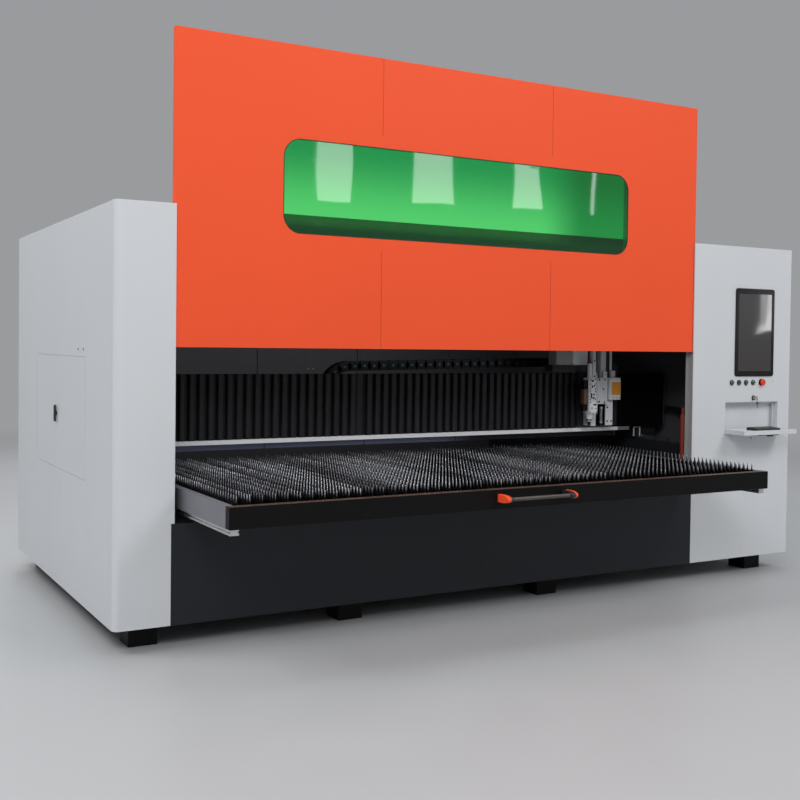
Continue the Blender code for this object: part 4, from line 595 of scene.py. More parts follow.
# Painted shade: the tips fade darker towards the right.
slat_variation_and_painted_falloff = slat_variation_and_painted_falloff * slat_steel.along("X").fade(-1.2, 0.2, 1.0, 0.7)
bare = slat_steel.mix(rust * 0.5, (0.88, 0.89, 0.95), (0.56, 0.47, 0.4))
spatter_and_painted_tip_light = painted_tip_light * (spatter * 0.45 + 0.55) * slat_variation_and_painted_falloff
slat_steel.paint(spatter_and_painted_tip_light, (0.003, 0.003, 0.0035), bare)
slat_steel.set("Roughness", spatter * 0.2 + 0.24)
steel = bare_metal("steel", (0.56, 0.56, 0.55))
piece("toothed_slats", slats, slat_steel, "table", ["slat_bed"], angle=30)
piece("slat_carriers", slat_carriers, steel, "table")


# Table frame, front beam and rails.
# Welded steel tube: the frame is zinc grey, the front beam black with its upper edge worn by sheets
# dragged across it. Ground steel rails are screwed under both sides.
repaint(black, "table_front_beam")
frame_zinc = powder_coat("table_zinc", (0.165, 0.167, 0.19), 0.4, 0.2)
repaint(frame_zinc, "table_frame")


def block(bm, x, y, z, chamfer=0.0):
    """A box, with its two upright front corners cut when a chamfer is given."""
    if not chamfer:
        return slab(bm, x, y, z)
    corners = [(x[0], y[1]), (x[0], y[0] + chamfer), (x[0] + chamfer, y[0]), (x[1] - chamfer, y[0]),
               (x[1], y[0] + chamfer), (x[1], y[1])]
    extrude(bm, corners, "z", *z)


def boxes(name, finish, body, sizes, bevel=0.0):
    """A piece made of boxes. Each has its reach along X, Y and Z, and a chamfer if it has one."""
    def draw(bm):
        for size in sizes:
            block(bm, *size)

    return piece(name, draw, finish, body, bevel=bevel)


BEAM_WIDTH = (-1.549, 1.549)
worn = bare_metal("worn_edge", (0.22, 0.17, 0.14), 0.5, (2.0, 60.0, 60.0), 0.8)
boxes("beam_worn_edge", worn, "table", [
    (BEAM_WIDTH, (-0.6046, -0.599), (0.7181, 0.7186)), (BEAM_WIDTH, (-0.599, -0.5606), (0.7181, 0.7184))])
ground = bare_metal("ground_rail", (0.66, 0.66, 0.65), 0.26, (40.0, 1.0, 40.0), 0.12)
repaint(ground, "table_rail_left", "table_rail_right")


# Table handle.
# A brown plastic coated tube between two moulded black legs, each with an orange cap,
# screwed to the front beam.
HANDLE_Z, BEAM_FACE, NOSE = 0.679, -0.6053, -0.6903


def turned(name, finish, body, profile, axis, centre, steps, taken=(), angle=40):
    """A piece that is one turned form."""
    return piece(name, lambda bm: turn(bm, profile, axis, centre, steps), finish, body, taken,
                 angle=angle)


handle_brown = moulded("handle_brown", (0.052, 0.046, 0.044), 0.34)
turned("handle_bar", handle_brown, "table",
       [(0.0088, -0.2202), (0.009, -0.219), (0.009, 0.151), (0.0088, 0.1522)], "x", (-0.6723, HANDLE_Z), 28,
       ["table_handle"])


def handle_leg(bm, start, width, seat, scale=1.0):
    """Flat where it meets the beam, round at its nose. The bar ends inside it."""
    half = 0.0185 * scale
    line = [(seat, HANDLE_Z - half), (seat, HANDLE_Z + half)]
    for share, height in ((0.45, 1.0), (0.62, 0.95), (0.76, 0.84), (0.88, 0.66), (0.96, 0.42), (1.0, 0.14)):
        line.append((BEAM_FACE + (NOSE - BEAM_FACE) * share, HANDLE_Z + half * height))
    line += [(y, 2 * HANDLE_Z - z) for y, z in line[:1:-1]]
    extrude(bm, line, "x", start, start + width)


for tag, cap, cap_width, leg, leg_width in (("left", -0.2381, 0.0222, -0.2156, 0.0132),
                                            ("right", 0.1582, 0.0116, 0.1344, 0.0235)):
    piece(f"handle_cap_{tag}", lambda bm: handle_leg(bm, cap, cap_width, BEAM_FACE - GAP), orange,
          "table", bevel=0.0022, segments=4)
    piece(f"handle_leg_{tag}", lambda bm: handle_leg(bm, leg, leg_width, BEAM_FACE, 0.94), plastic,
          "table", bevel=0.002, segments=3)


# Bed and scrap pan.
# Welded side beams and a folded pan, painted dark inside the machine. The gantry's ground rails
# are screwed to the tops of the beams.
inside = powder_coat("inside_coat", (0.016, 0.017, 0.021), 0.55, 0.2, 0.25)
repaint(inside, "bed_left", "bed_right", "slag_tray")
repaint(ground, "y_rail_left", "y_rail_right")


# Gantry beam.
# A welded box beam on two saddles, painted dark, with ground rails on its front. A white coated strip is folded
# under the bellows, blue grey panels hang below it, and a small white bracket is screwed to the right saddle.
repaint(dark, "gantry_beam", "gantry_end_left", "gantry_end_right")
repaint(ground, "x_rail_upper", "x_rail_lower")
strip = powder_coat("strip_coat", (0.86, 0.87, 0.9), 0.35, 0.05)
# Painted shade: right of the carriage, under the right bellows, the strip is painted grey.
two_sided(strip, "X", 1.43 + SHIFT.x, (0.2, 0.2, 0.21))
repaint(strip, "gantry_cover")

SKIRT_JOINTS, HALF_JOINT = (-1.57, -0.92, -0.327, 0.266, 0.859, 1.452), 0.0025
skirt_blue = powder_coat("skirt_coat", (0.3, 0.33, 0.5), 0.45, 0.1, 0.3)
# Painted shade: the panels fade to near black towards the right.
painted_shade_end = skirt_blue.along("X").fade(-0.17, 0.19)
skirt_blue.paint(painted_shade_end, skirt_blue.coat(), (0.03, 0.032, 0.042))
boxes("beam_skirt", skirt_blue, "gantry", [
    ((start + HALF_JOINT, end - HALF_JOINT), (0.5545, 0.557), (0.8315, 0.8657))
    for start, end in zip(SKIRT_JOINTS, SKIRT_JOINTS[1:])], 0.0004)
boxes("hose_bracket", white, "gantry", [
    ((1.593, 1.651), (0.524, 0.5298), (0.874, 0.879)), ((1.593, 1.5995), (0.524, 0.5298), (0.819, 0.874)),
    ((1.643, 1.6495), (0.524, 0.5298), (0.819, 0.874))], 0.0006)


# Bellows.
# Coated black fabric in two lengths, stitched into upright pleats that slide along the beam and screwed
# to the saddles and to the carriage. The pleats bunch up on one side as the carriage comes over.
PLEAT_SHARES = ((0.0, 1.0), (0.1, 0.97), (0.155, 0.45), (0.19, 0.18), (0.25, 0.06), (0.34, 0.01), (0.5, 0.0),
                (0.66, 0.01), (0.75, 0.06), (0.81, 0.18), (0.845, 0.45), (0.9, 0.97))
LONG_BELLOWS, SHORT_BELLOWS = (-1.76, 1.1145), (1.4255, 1.8208)


def pleats(bm, start, end, count, joint=None):
    """The shares give the place along one pleat and how deep the cloth lies. A joined pleat lies deeper."""
    face, depth, low, high, hem, steps = 0.5, 0.0285, 0.888, 1.224, 0.006, len(PLEAT_SHARES)
    pitch = (end - start) / count
    columns = []
    for n in range(count * steps + 1):
        whole, part = divmod(n, steps)
        share, wave = PLEAT_SHARES[part]
        columns.append((start + (whole + share) * pitch, max(wave, 0.8) if whole == joint else wave))
    grid = [[bm.verts.new((x, face + depth * wave + 0.0012 * tuck, z)) for x, wave in columns]
            for z, tuck in ((low, 1.0), (low + hem, 0.0), (high - hem, 0.0), (high, 1.0))]
    back = [[bm.verts.new((x, min(face + depth * wave + 0.0022, face + 0.0297), z)) for x, wave in columns]
            for z in (low, high)]
    sheets = grid + [back[1], back[0], grid[0]]
    for lower, upper in zip(sheets, sheets[1:]):
        for n in range(len(lower) - 1):
            bm.faces.new((lower[n], lower[n + 1], upper[n + 1], upper[n]))
    for side in (0, -1):
        bm.faces.new([row[side] for row in sheets[:-1]])


cloth = Finish("bellows_cloth", (0.012, 0.012, 0.014), 0.45, Specular_IOR_Level=0.35)
weave = cloth.noise(700.0, 2.0, 0.5, (1.0, 1.0, 2.2))
scuff = cloth.noise(26.0, 6.0, 0.7, (1.0, 1.0, 0.25))
cloth.paint(scuff.fade(0.5, 0.8), (0.013, 0.0125, 0.0155), (0.034, 0.033, 0.039))
cloth.set("Roughness", weave * 0.15 + scuff * 0.15 + 0.36)
cloth.bump(weave, 0.0003, 0.7)
long_bellows = piece("bellows_left_cloth", lambda bm: pleats(bm, *LONG_BELLOWS, 57, joint=27), cloth, "gantry",
                     ["bellows_left"], angle=60)
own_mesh(long_bellows)
# Painted shade: the right length of bellows is painted near black and dull.
painted_shade_cloth = Finish("cloth_in_painted_shade", (0.0018, 0.0018, 0.002), 0.7, Specular_IOR_Level=0.08)
painted_shade_cloth.bump(painted_shade_cloth.noise(700.0, 2.0), 0.0003, 0.7)
short_bellows = piece("bellows_right_cloth", lambda bm: pleats(bm, *SHORT_BELLOWS, 30), painted_shade_cloth, None,
                      ["bellows_right"], angle=60)
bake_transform(short_bellows)
boxes("bellows_end_strip", galvanised, "gantry",
      [((1.8212, 1.8236), (0.4985, 0.529), (0.89, 1.224))], 0.0004)


# Drag chain along the beam.
# Black moulded links with side plates, cross bars and steel pins. They run out, bend over and run back,
# and each of the three lengths follows the carriage in its own way.

def set_in_place(bm, place, start):
    bm.verts.ensure_lookup_table()
    bmesh.ops.transform(bm, matrix=place, verts=bm.verts[start:])


def link(bm, place, length, height, half_width):
    """One link, drawn along X with its width across Y, then set in its place."""
    start, radius = len(bm.verts), height * 0.48
    for side in (-1, 1):
        plate = arc((length * 0.5 - radius * 0.62, 0), radius, -72, 72, 6)
        plate += arc((radius * 0.62 - length * 0.5, 0), radius, 108, 252, 6)
        extrude(bm, plate, "y", *sorted((side * half_width, side * (half_width - 0.004))))
        inner = [(-length * 0.62, -radius * 0.9), (length * 0.5, -radius * 0.9), (length * 0.5, radius * 0.9),
                 (-length * 0.62, radius * 0.9)]
        extrude(bm, inner, "y", *sorted((side * (half_width - 0.0045), side * (half_width - 0.0085))))
    for z in (-1, 1):
        slab(bm, (-length * 0.3, length * 0.3), (-half_width + 0.004, half_width - 0.004),
             sorted((z * height * 0.46, z * (height * 0.46 - 0.004))))
    set_in_place(bm, place, start)


def pin(bm, place, length, height, half_width):
    """The round pin head at each end of a link's side plates."""
    start = len(bm.verts)
    for side in (-1, 1):
        face = side * half_width
        radius = height * 0.15
        head = [(radius, face), (radius, face + side * 0.0008), (height * 0.12, face + side * 0.0014)]
        turn(bm, head, "y", (0.0, 0.0), 16)
    set_in_place(bm, place, start)


def link_place(spot, slope, sideways):
    matrix = Matrix.Translation(spot)
    if sideways:
        matrix = matrix @ Matrix.Rotation(math.radians(90), 4, "Z")
    return matrix @ Matrix.Rotation(-slope, 4, "Y")


def run_of_links(bm, start, end, pitch, height, half_width, sideways=False, part=link):
    start, end = Vector(start), Vector(end)
    length = (end - start).length
    count = max(1, round(length / pitch))
    slope = math.atan((end.z - start.z) / (end.y - start.y if sideways else end.x - start.x))
    for n in range(count):
        place = link_place(start.lerp(end, (n + 0.5) / count), slope, sideways)
        part(bm, place, length / count, height, half_width)


def bend_of_links(bm, centre, radius, pitch, height, half_width, sideways=False, part=link):
    length = math.pi * radius
    count = max(4, round(length / pitch))
    for n in range(count):
        angle = math.pi / 2 + math.pi * (n + 0.5) / count
        along, up = radius * math.cos(angle), radius * math.sin(angle)
        middle = Vector(centre) + Vector((0, along, up) if sideways else (along, 0, up))
        part(bm, link_place(middle, angle - math.pi / 2, sideways), length / count, height, half_width)


chain_plastic = moulded("chain_plastic", (0.011, 0.011, 0.012), 0.38)
pin_blue = bare_metal("pin_head", (0.1, 0.17, 0.24), 0.32, (30.0, 30.0, 30.0), 0.1)
X_BEND, X_END, X_LOWER, X_CHAIN_Y = -0.33, 1.17, 0.12, 0.7625
X_TOP, X_RISE, X_BOTTOM = 1.259, 0.028, 0.9635
X_LINKS = (0.0624, 0.06, 0.029)
for tag, part, finish, taken in (("", link, chain_plastic, ["x_chain"]), ("_pins", pin, pin_blue, [])):
    def upper_run(bm):
        run_of_links(bm, (X_BEND, X_CHAIN_Y, X_TOP), (X_END, X_CHAIN_Y, X_TOP + X_RISE), *X_LINKS, part=part)

    def bend(bm):
        middle, radius = (X_TOP + X_BOTTOM) / 2, (X_TOP - X_BOTTOM) / 2
        bend_of_links(bm, (X_BEND, X_CHAIN_Y, middle), radius, *X_LINKS, part=part)

    def lower_run(bm):
        run_of_links(bm, (X_BEND, X_CHAIN_Y, X_BOTTOM), (X_LOWER, X_CHAIN_Y, X_BOTTOM), *X_LINKS, part=part)

    upper = piece(f"x_chain_upper{tag}", upper_run, finish, "x_chain_slide", taken)
    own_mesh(upper)
    piece(f"x_chain_bend{tag}", bend, finish, "x_chain_slide")
    lower = piece(f"x_chain_lower{tag}", lower_run, finish, None)
    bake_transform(lower)


# Drag chain beside the bed.
# The same kind of links, smaller and turned to run front to back in the trough of the right bed beam.
# It feeds the gantry.
Y_BEND, Y_END, Y_LOWER, Y_CHAIN_X = 0.44, 0.73, 1.2, 1.846
Y_TOP, Y_BOTTOM = 0.997, 0.7253
Y_LINKS = (0.034, 0.028, 0.019)


def y_run(level, end):
    return lambda bm: run_of_links(bm, (Y_CHAIN_X, Y_BEND, level), (Y_CHAIN_X, end, level), *Y_LINKS, True)


def y_bend(bm):
    bend_of_links(bm, (Y_CHAIN_X, Y_BEND, (Y_TOP + Y_BOTTOM) / 2), (Y_TOP - Y_BOTTOM) / 2, *Y_LINKS, True)


back_run = piece("y_chain_upper", y_run(Y_TOP, Y_END), chain_plastic, None, ["y_chain"])
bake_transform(back_run)
piece("y_chain_bend", y_bend, chain_plastic, "y_chain_slide")
ground_run = piece("y_chain_lower", y_run(Y_BOTTOM, Y_LOWER), chain_plastic, "y_chain_slide")
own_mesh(ground_run)


# Laser head.
# Machined alloy housings with bolted covers, a lens drawer with its knobs, dark sight glasses
# and blackened socket screws. It hangs on the head plate and goes up and down with it.
anodised = powder_coat("anodised_alloy", (0.7, 0.71, 0.74), 0.28, 0.03)
repaint(anodised, "laser_head")
COVER_X, COVER_Y = (1.0812, 1.1268), (0.3405, 0.3428)
boxes("laser_covers", anodised, "head", [
    (COVER_X, COVER_Y, (1.126, 1.1955), 0.0015), (COVER_X, COVER_Y, (1.064, 1.1225), 0.0015),
    ((1.08, 1.14), (0.339, 0.3428), (0.988, 1.058), 0.002),
    ((1.079, 1.129), (0.3418, 0.3428), (1.1234, 1.1246)),
    ((1.079, 1.129), (0.3418, 0.3428), (1.0604, 1.0616))], 0.0005)


def laser_knobs(bm):
    for z in (1.144, 1.027):
        turn(bm, [(0.007, 1.0776), (0.007, 1.07), (0.0058, 1.069)], "x", (0.362, z), 20)
    turn(bm, [(0.005, 0.3386), (0.005, 0.333), (0.004, 0.3322)], "y", (1.127, 1.016), 20)
    turn(bm, [(0.008, 0.3386), (0.008, 0.335), (0.007, 0.3342)], "y", (1.095, 1.02), 24)


piece("laser_knobs", laser_knobs, ground, "head")
screw_black = bare_metal("blackened_screw", (0.05, 0.05, 0.052), 0.35, (20.0, 20.0, 20.0), 0.1)


def screws(name, body, *rows):
    """Socket screws seen from the front. Each row has its level, its radius and its places."""
    def draw(bm):
        for level, radius, spots in rows:
            for spot in spots:
                screw_head(bm, "y", spot, level, -1, radius)

    piece(name, draw, screw_black, body)


screws("laser_screws", "head",
       (0.3404, 0.0043, [(x, z) for x in (1.0855, 1.1225) for z in (1.19, 1.162, 1.132, 1.116, 1.07)]),
       (0.3389, 0.0043, [(x, z) for x in (1.0845, 1.1355) for z in (1.052, 0.994)]))


def laser_windows(bm):
    """Dark sight glasses, sensor sockets and service slots of the head."""
    face = (0.3398, 0.3404)
    slab(bm, (1.091, 1.109), face, (1.174, 1.188))
    slab(bm, (1.093, 1.103), face, (1.138, 1.156))
    turn(bm, [(0.0062, 0.3404), (0.0062, 0.3396)], "y", (1.113, 1.15), 24)
    slab(bm, (1.086, 1.1), face, (1.076, 1.108))
    slab(bm, (1.102, 1.118), face, (1.072, 1.084))
    turn(bm, [(0.007, 0.3404), (0.007, 0.3396)], "y", (1.112, 1.099), 24)
    slab(bm, (1.108, 1.133), (0.3382, 0.3389), (1.033, 1.043))


piece("laser_windows", laser_windows, plastic, "head")


# Fibre connector and nozzle.
# Turned parts on one upright axis: above, the quartz block connector with its ring and red strain relief;
# below, the nozzle body with its black insulating ring and dark tip.
HEAD_AXIS = (1.104, 0.3731)
turned("fibre_barrel", anodised, "head", [
    (0.0155, 1.199), (0.0155, 1.208), (0.0168, 1.209), (0.0168, 1.218), (0.015, 1.219), (0.015, 1.262),
    (0.016, 1.263), (0.016, 1.274), (0.0138, 1.275), (0.0138, 1.285)], "z", HEAD_AXIS, 36, ["fibre_connector"])
turned("fibre_ring", plastic, "head",
       [(0.013, 1.2852), (0.016, 1.2856), (0.016, 1.294), (0.009, 1.295)], "z", HEAD_AXIS, 36)
boot = [(0.0085, 1.2951)]
for n in range(5):
    low, radius = 1.296 + n * 0.006, 0.0085 - n * 0.0007
    boot += [(radius, low), (radius, low + 0.004), (radius - 0.0013, low + 0.0045)]
turned("fibre_boot", tube, "head", boot + [(0.004, 1.3255)], "z", HEAD_AXIS, 24)
turned("nozzle_body", anodised, "head", [
    (0.0215, 0.9843), (0.0215, 0.974), (0.019, 0.973), (0.019, 0.9655), (0.0172, 0.964), (0.0172, 0.951),
    (0.015, 0.9495), (0.013, 0.936)], "z", HEAD_AXIS, 40, ["nozzle"])
turned("nozzle_ring", plastic, "head",
       [(0.0165, 0.9485), (0.0165, 0.943), (0.014, 0.942)], "z", HEAD_AXIS, 36)
turned("nozzle_tip", screw_black, "head",
       [(0.0128, 0.9358), (0.0128, 0.929), (0.0095, 0.927), (0.004, 0.909), (0.003, 0.906)], "z", HEAD_AXIS, 32)


# Head plate and valve block.
# A milled alloy plate with upright ribs, screwed to the slide, and a tall strip that runs on upwards behind
# the door. The brown gas valve block is screwed to its left edge, between two dark fittings.
repaint(anodised, "head_plate")
RIBS = ((1.156, 1.1625), (1.18, 1.1865), (1.189, 1.1955), (1.208, 1.221), (1.227, 1.24), (1.246, 1.259))
boxes("head_ribs", anodised, "head",
      [(x, (0.3972, 0.4004), (1.042, 1.1905), 0.001) for x in RIBS]
      + [((1.1505, 1.1725), (0.3985, 0.4004), (1.2, 1.308), 0.001)], 0.0005)
boxes("head_strip_top", anodised, "head", [
    ((1.149, 1.174), (0.402, 0.424), (1.3103, 1.438), 0.001),
    ((1.152, 1.171), (0.3995, 0.4019), (1.312, 1.436), 0.001)], 0.0005)
screws("head_plate_screws", "head",
       (0.3971, 0.0056, ((1.2, 1.186), (1.242, 1.186), (1.233, 1.128), (1.242, 1.048), (1.2, 1.052))),
       (0.3984, 0.0056, [(1.162, z) for z in (1.207, 1.3, 1.026, 0.996)]))
copper = powder_coat("brown_block", (0.105, 0.046, 0.026), 0.42, 0.3)
repaint(copper, "valve_block")


def valve_fittings(bm):
    block(bm, (1.044, 1.077), (0.35, 0.38), (1.1325, 1.186), 0.002)
    block(bm, (1.04, 1.077), (0.352, 0.38), (1.005, 1.04), 0.003)
    turn(bm, [(0.005, 1.0396), (0.005, 1.032), (0.0035, 1.031)], "x", (0.364, 1.032), 18)


piece("valve_fittings", valve_fittings, black, "head", bevel=0.0006)


# Drive column.
# A machined alloy column with two feet, bolted to the carriage. The ball screw turns in the slot between them,
# and the white motor, its dark board and a cable duct stand on top.
repaint(anodised, "z_axis_body")
repaint(white, "z_motor")
boxes("column_details", anodised, "carriage", [
    ((1.164, 1.196), (0.42475, 0.4249), (0.906, 0.982)),
    ((1.2765, 1.328), (0.4215, 0.4247), (0.906, 1.033), 0.001),
    ((1.25, 1.279), (0.419, 0.4397), (1.1975, 1.235), 0.002),
    ((1.19, 1.212), (0.427, 0.469), (1.1975, 1.228), 0.002)], 0.0005)


def column_screws(bm):
    for x, z in ((1.172, 0.948), (1.172, 0.914), (1.188, 0.948)):
        turn(bm, [(0.0058, 0.42486), (0.0058, 0.42477)], "y", (x, z), 20)
    for x, z in ((1.286, 0.93), (1.318, 0.93), (1.286, 1.015)):
        screw_head(bm, "y", (x, z), 0.4214, -1, 0.0058)
    for x, z, level in ((1.196, 1.212, 0.4269), (1.206, 1.221, 0.4269), (1.264, 1.216, 0.4189)):
        screw_head(bm, "y", (x, z), level, -1, 0.0035)


piece("column_screws", column_screws, screw_black, "carriage")
thread = [(0.013, 0.916), (0.013, 0.93)]
for n in range(22):
    thread += [(0.0105, 0.932 + n * 0.0032), (0.0118, 0.9336 + n * 0.0032)]
turned("ball_screw", steel, "carriage", thread + [(0.013, 1.004), (0.013, 1.018)], "z",
       (1.256, 0.445), 24)
boxes("slot_lining", black, "carriage", [
    ((1.27, 1.2732), (0.4275, 0.494), (0.905, 1.0345)), ((1.1994, 1.27), (0.4905, 0.494), (0.905, 1.0345)),
    ((1.1994, 1.2732), (0.4275, 0.4905), (1.0315, 1.0345))])
drive_grey = powder_coat("drive_grey", (0.085, 0.085, 0.092), 0.45, 0.1)
boxes("drive_board", drive_grey, "carriage",
      [((1.176, 1.2445), (0.47, 0.4949), (1.1975, 1.42))], 0.0005)
DUCT_TEETH = [1.245 + n * 0.021 for n in range(9)]
boxes("cable_duct", plastic, "carriage",
      [((1.286, 1.324), (0.452, 0.4949), (1.1975, 1.44))]
      + [((1.288, 1.322), (0.4505, 0.4519), (z, z + 0.015)) for z in DUCT_TEETH], 0.0004)
boxes("duct_edge", anodised, "carriage", [
    ((1.326, 1.345), (0.455, 0.47), (1.24, 1.44)),
    ((1.327, 1.363), (0.44, 0.48), (1.1975, 1.239), 0.004)], 0.0005)
boxes("motor_cover", white, "carriage",
      [((1.2465, 1.2835), (0.4372, 0.4397), (1.242, 1.43), 0.001)], 0.0005)


# Sensor box.
# A small alloy box with a thin screwed lid and an orange plate on it. It sits on the carriage beside
# the drive column.
repaint(anodised, "sensor_box")
boxes("sensor_cover", anodised, "carriage",
      [((1.2805, 1.3697), (0.3975, 0.3997), (1.0625, 1.1955), 0.0015)], 0.0005)
sensor_orange = powder_coat("orange_plate", (0.72, 0.3, 0.035), 0.42, 0.03)
boxes("sensor_plate", sensor_orange, "carriage",
      [((1.2985, 1.3694), (0.3966, 0.3974), (1.0915, 1.17))])
screws("sensor_screws", "carriage",
       (0.3974, 0.0032, ((1.3115, 1.074), (1.337, 1.074), (1.36, 1.074), (1.286, 1.189), (1.364, 1.189))))


# Boxes and arm of the carriage.
# Folded sheet boxes, one grey with a lid and plugs and one white, sit on a dark welded arm
# with a bolted cable clamp.
repaint(white, "gas_box")
box_grey = powder_coat("box_grey", (0.3, 0.295, 0.3), 0.4, 0.05)
repaint(box_grey, "cable_box")
arm_grey = powder_coat("arm_grey", (0.026, 0.026, 0.031), 0.52, 0.2, 0.25)
repaint(arm_grey, "carriage_plate")
screws("box_screws", "carriage",
       (0.4178, 0.003, [(x, z) for x in (1.015, 1.1205, 0.8905, 1.004) for z in (1.28, 1.418)]))
boxes("cable_box_lid", box_grey, "carriage",
      [((0.887, 1.0078), (0.4158, 0.4178), (1.285, 1.423), 0.001)], 0.0005)


def box_plugs(bm):
    for x in (0.915, 0.935, 0.955):
        turn(bm, [(0.006, 0.4157), (0.006, 0.414), (0.004, 0.4136)], "y", (x, 1.408), 16)


piece("cable_box_plugs", box_plugs, plastic, "carriage")


def arm_clamps(bm):
    for x in (0.89, 0.945, 1.0, 1.055):
        screw_head(bm, "y", (x, 1.254), 0.4351, -1, 0.0045)
    slab(bm, (0.876, 1.11), (0.4335, 0.4351), (1.238, 1.244))


piece("arm_clamps", arm_clamps, screw_black, "carriage")


# Screen.
# A touch screen with a dark glass front, in a glossy black moulded bezel that is clipped
# into the cabinet front.

def bezel(bm):
    outer = round_corners((1.92, 2.253), (1.215, 1.753), 0.016, 8)
    inner = round_corners((1.946, 2.231), (1.247, 1.721), 0.004, 4)
    extrude(bm, outer, "y", -0.006, -GAP, [inner])
    slab(bm, (1.938, 2.235), (0.0, 0.045), (1.233, 1.735))


gloss_black = Finish("gloss_black", (0.005, 0.005, 0.0055), 0.16, Specular_IOR_Level=0.35)
gloss_black.set("Roughness", gloss_black.noise(60.0, 5.0, 0.7).fade(0.4, 0.8) * 0.12 + 0.14)
piece("screen_bezel", bezel, gloss_black, "machine", ["screen"], 0.0012, 3)
glass = Finish("screen_glass", (0.04, 0.037, 0.036), 0.05, 0.0, Coat_Weight=0.6)
smear = glass.noise(11.0, 6.0, 0.7, (1.0, 1.0, 0.4))
# Painted reflection: the glass is painted warmer below and paler and cooler towards the top.
glass.paint(glass.along("Z").fade(1.27, 1.7), (0.036, 0.031, 0.028), (0.05, 0.048, 0.05))
glass.set("Roughness", smear.fade(0.45, 0.8) * 0.1 + 0.03)
glass.bump(glass.noise(3.0, 1.0), 0.004, 0.4)
boxes("screen_front", glass, "machine",
      [((1.9463, 2.2307), (-0.0042, -0.0006), (1.2473, 1.7207))], 0.0004)


# Push buttons.
# Four green caps in steel rims and black collars, each pushed through the cabinet front
# and held by a nut behind it.
BUTTON_X, BUTTON_Z = (1.9, 1.9605, 2.021, 2.0815), 1.177
COLLAR = [(0.0168, -GAP), (0.0168, -0.004), (0.015, -0.0072), (0.0128, -0.0078), (0.0124, -0.004),
          (0.0108, -0.004), (0.0108, -GAP)]
RIM = [(0.012, -0.0042), (0.012, -0.0086), (0.0112, -0.009), (0.0104, -0.0086), (0.0104, -0.0042)]
deep_green = moulded("deep_green", (0.004, 0.075, 0.034), 0.2)
for number, x in enumerate(BUTTON_X, 1):
    def cap(bm):
        turn(bm, [(0.0082, -0.01), (0.0096, -0.0094), (0.01, -0.0082), (0.01, -0.0042)], "y", (x, BUTTON_Z), 36)
        turn(bm, [(0.0078, -0.0044), (0.0078, 0.018)], "y", (x, BUTTON_Z), 24)

    piece(f"button_cap_{number}", cap, deep_green, f"press_{number}",
          [f"button_{number}"])
    turned(f"button_collar_{number}", gloss_black, "machine", COLLAR, "y", (x, BUTTON_Z), 40)
    turned(f"button_rim_{number}", ground, "machine", RIM, "y", (x, BUTTON_Z), 36)


# Stop button.
# A red moulded mushroom head on a stem that goes through the cabinet front, over a flat black collar.
STOP = (2.153, 1.178)
turned("stop_collar", gloss_black, "machine",
       [(0.0215, -GAP), (0.0215, -0.0009), (0.0207, -0.0012), (0.0112, -0.0012), (0.0112, -GAP)], "y", STOP, 40)
red = moulded("red_plastic", (0.7, 0.032, 0.01), 0.26)
turned("stop_head", red, "stop", [
    (0.011, -0.022), (0.0165, -0.0212), (0.019, -0.0188), (0.02, -0.015), (0.0192, -0.011),
    (0.015, -0.0072), (0.0108, -0.0062), (0.0108, 0.0155)], "y", STOP, 48, ["stop_button"], 50)


# Key lock.
# A black barrel with the key in it, pushed through the cabinet front, and a spare key that hangs
# from the first on a wire ring.
LOCK_X = 2.088
repaint(ground, "lock_key")
turned("lock_barrel", gloss_black, "machine",
       [(0.015, -GAP), (0.015, -0.003), (0.0132, -0.0048), (0.0122, -0.0048), (0.0122, -GAP)], "y",
       (LOCK_X, 1.082), 36)


def hanging_key(bm):
    ring, half = (LOCK_X, 1.0655), 0.0023
    extrude(bm, arc(ring, 0.0095, 0, 345, 23), "y", -0.0312, -0.03, [arc(ring, 0.008, 0, 345, 23)])
    bow = arc((LOCK_X, 1.0495), 0.008, -60, 240, 20)
    blade = [(LOCK_X - half, 1.042), (LOCK_X - half, 1.0215), (LOCK_X, 1.019), (LOCK_X + half, 1.0215),
             (LOCK_X + half, 1.042)]
    extrude(bm, bow + blade, "y", -0.033, -0.0316)


key_brown = bare_metal("key_brown", (0.16, 0.115, 0.07), 0.4, (30.0, 30.0, 30.0))
piece("hanging_key", hanging_key, key_brown, "key", bevel=0.0003)


# Keyboard tray.
# A white folded pan that swings up on its pivots into the recess, whose edges are turned in.
# A dark moulded catch is screwed under its front edge.
repaint(white, "keyboard_tray")
boxes("recess_lips", white, "machine", [
    ((1.854, 2.3), (0.0305, 0.032), (1.044, 1.0545)), ((2.288, 2.3), (0.0305, 0.032), (0.9, 1.044))],
    0.0004)


def tray_latch(bm):
    """The catch and its lever under the front edge of the tray."""
    slab(bm, (2.01, 2.15), (-0.15, -0.138), (0.8622, 0.8668))
    slab(bm, (2.062, 2.098), (-0.151, -0.133), (0.8555, 0.8622))
    turn(bm, [(0.0045, 1.99), (0.0045, 2.165)], "x", (-0.133, 0.865), 14)


piece("tray_latch", tray_latch, plastic, "tray", bevel=0.0005)


# Keyboard.
# A flat black moulded case with five rows of dark grey keys. It lies on the tray
# and isn't fixed to it.
CASE_LOW, KEY_ROW, KEY_GAP, CASE_SLOPE = 0.8893, 0.0138, 0.0016, 0.0603


def keyboard_case(bm):
    line = [(-0.121, 0.0), (-0.041, 0.0), (-0.0402, 0.004), (-0.0402, 0.015), (-0.044, 0.0172), (-0.117, 0.0128),
            (-0.1215, 0.01), (-0.122, 0.003)]
    extrude(bm, [(y, CASE_LOW + z) for y, z in line], "x", 1.99, 2.193)


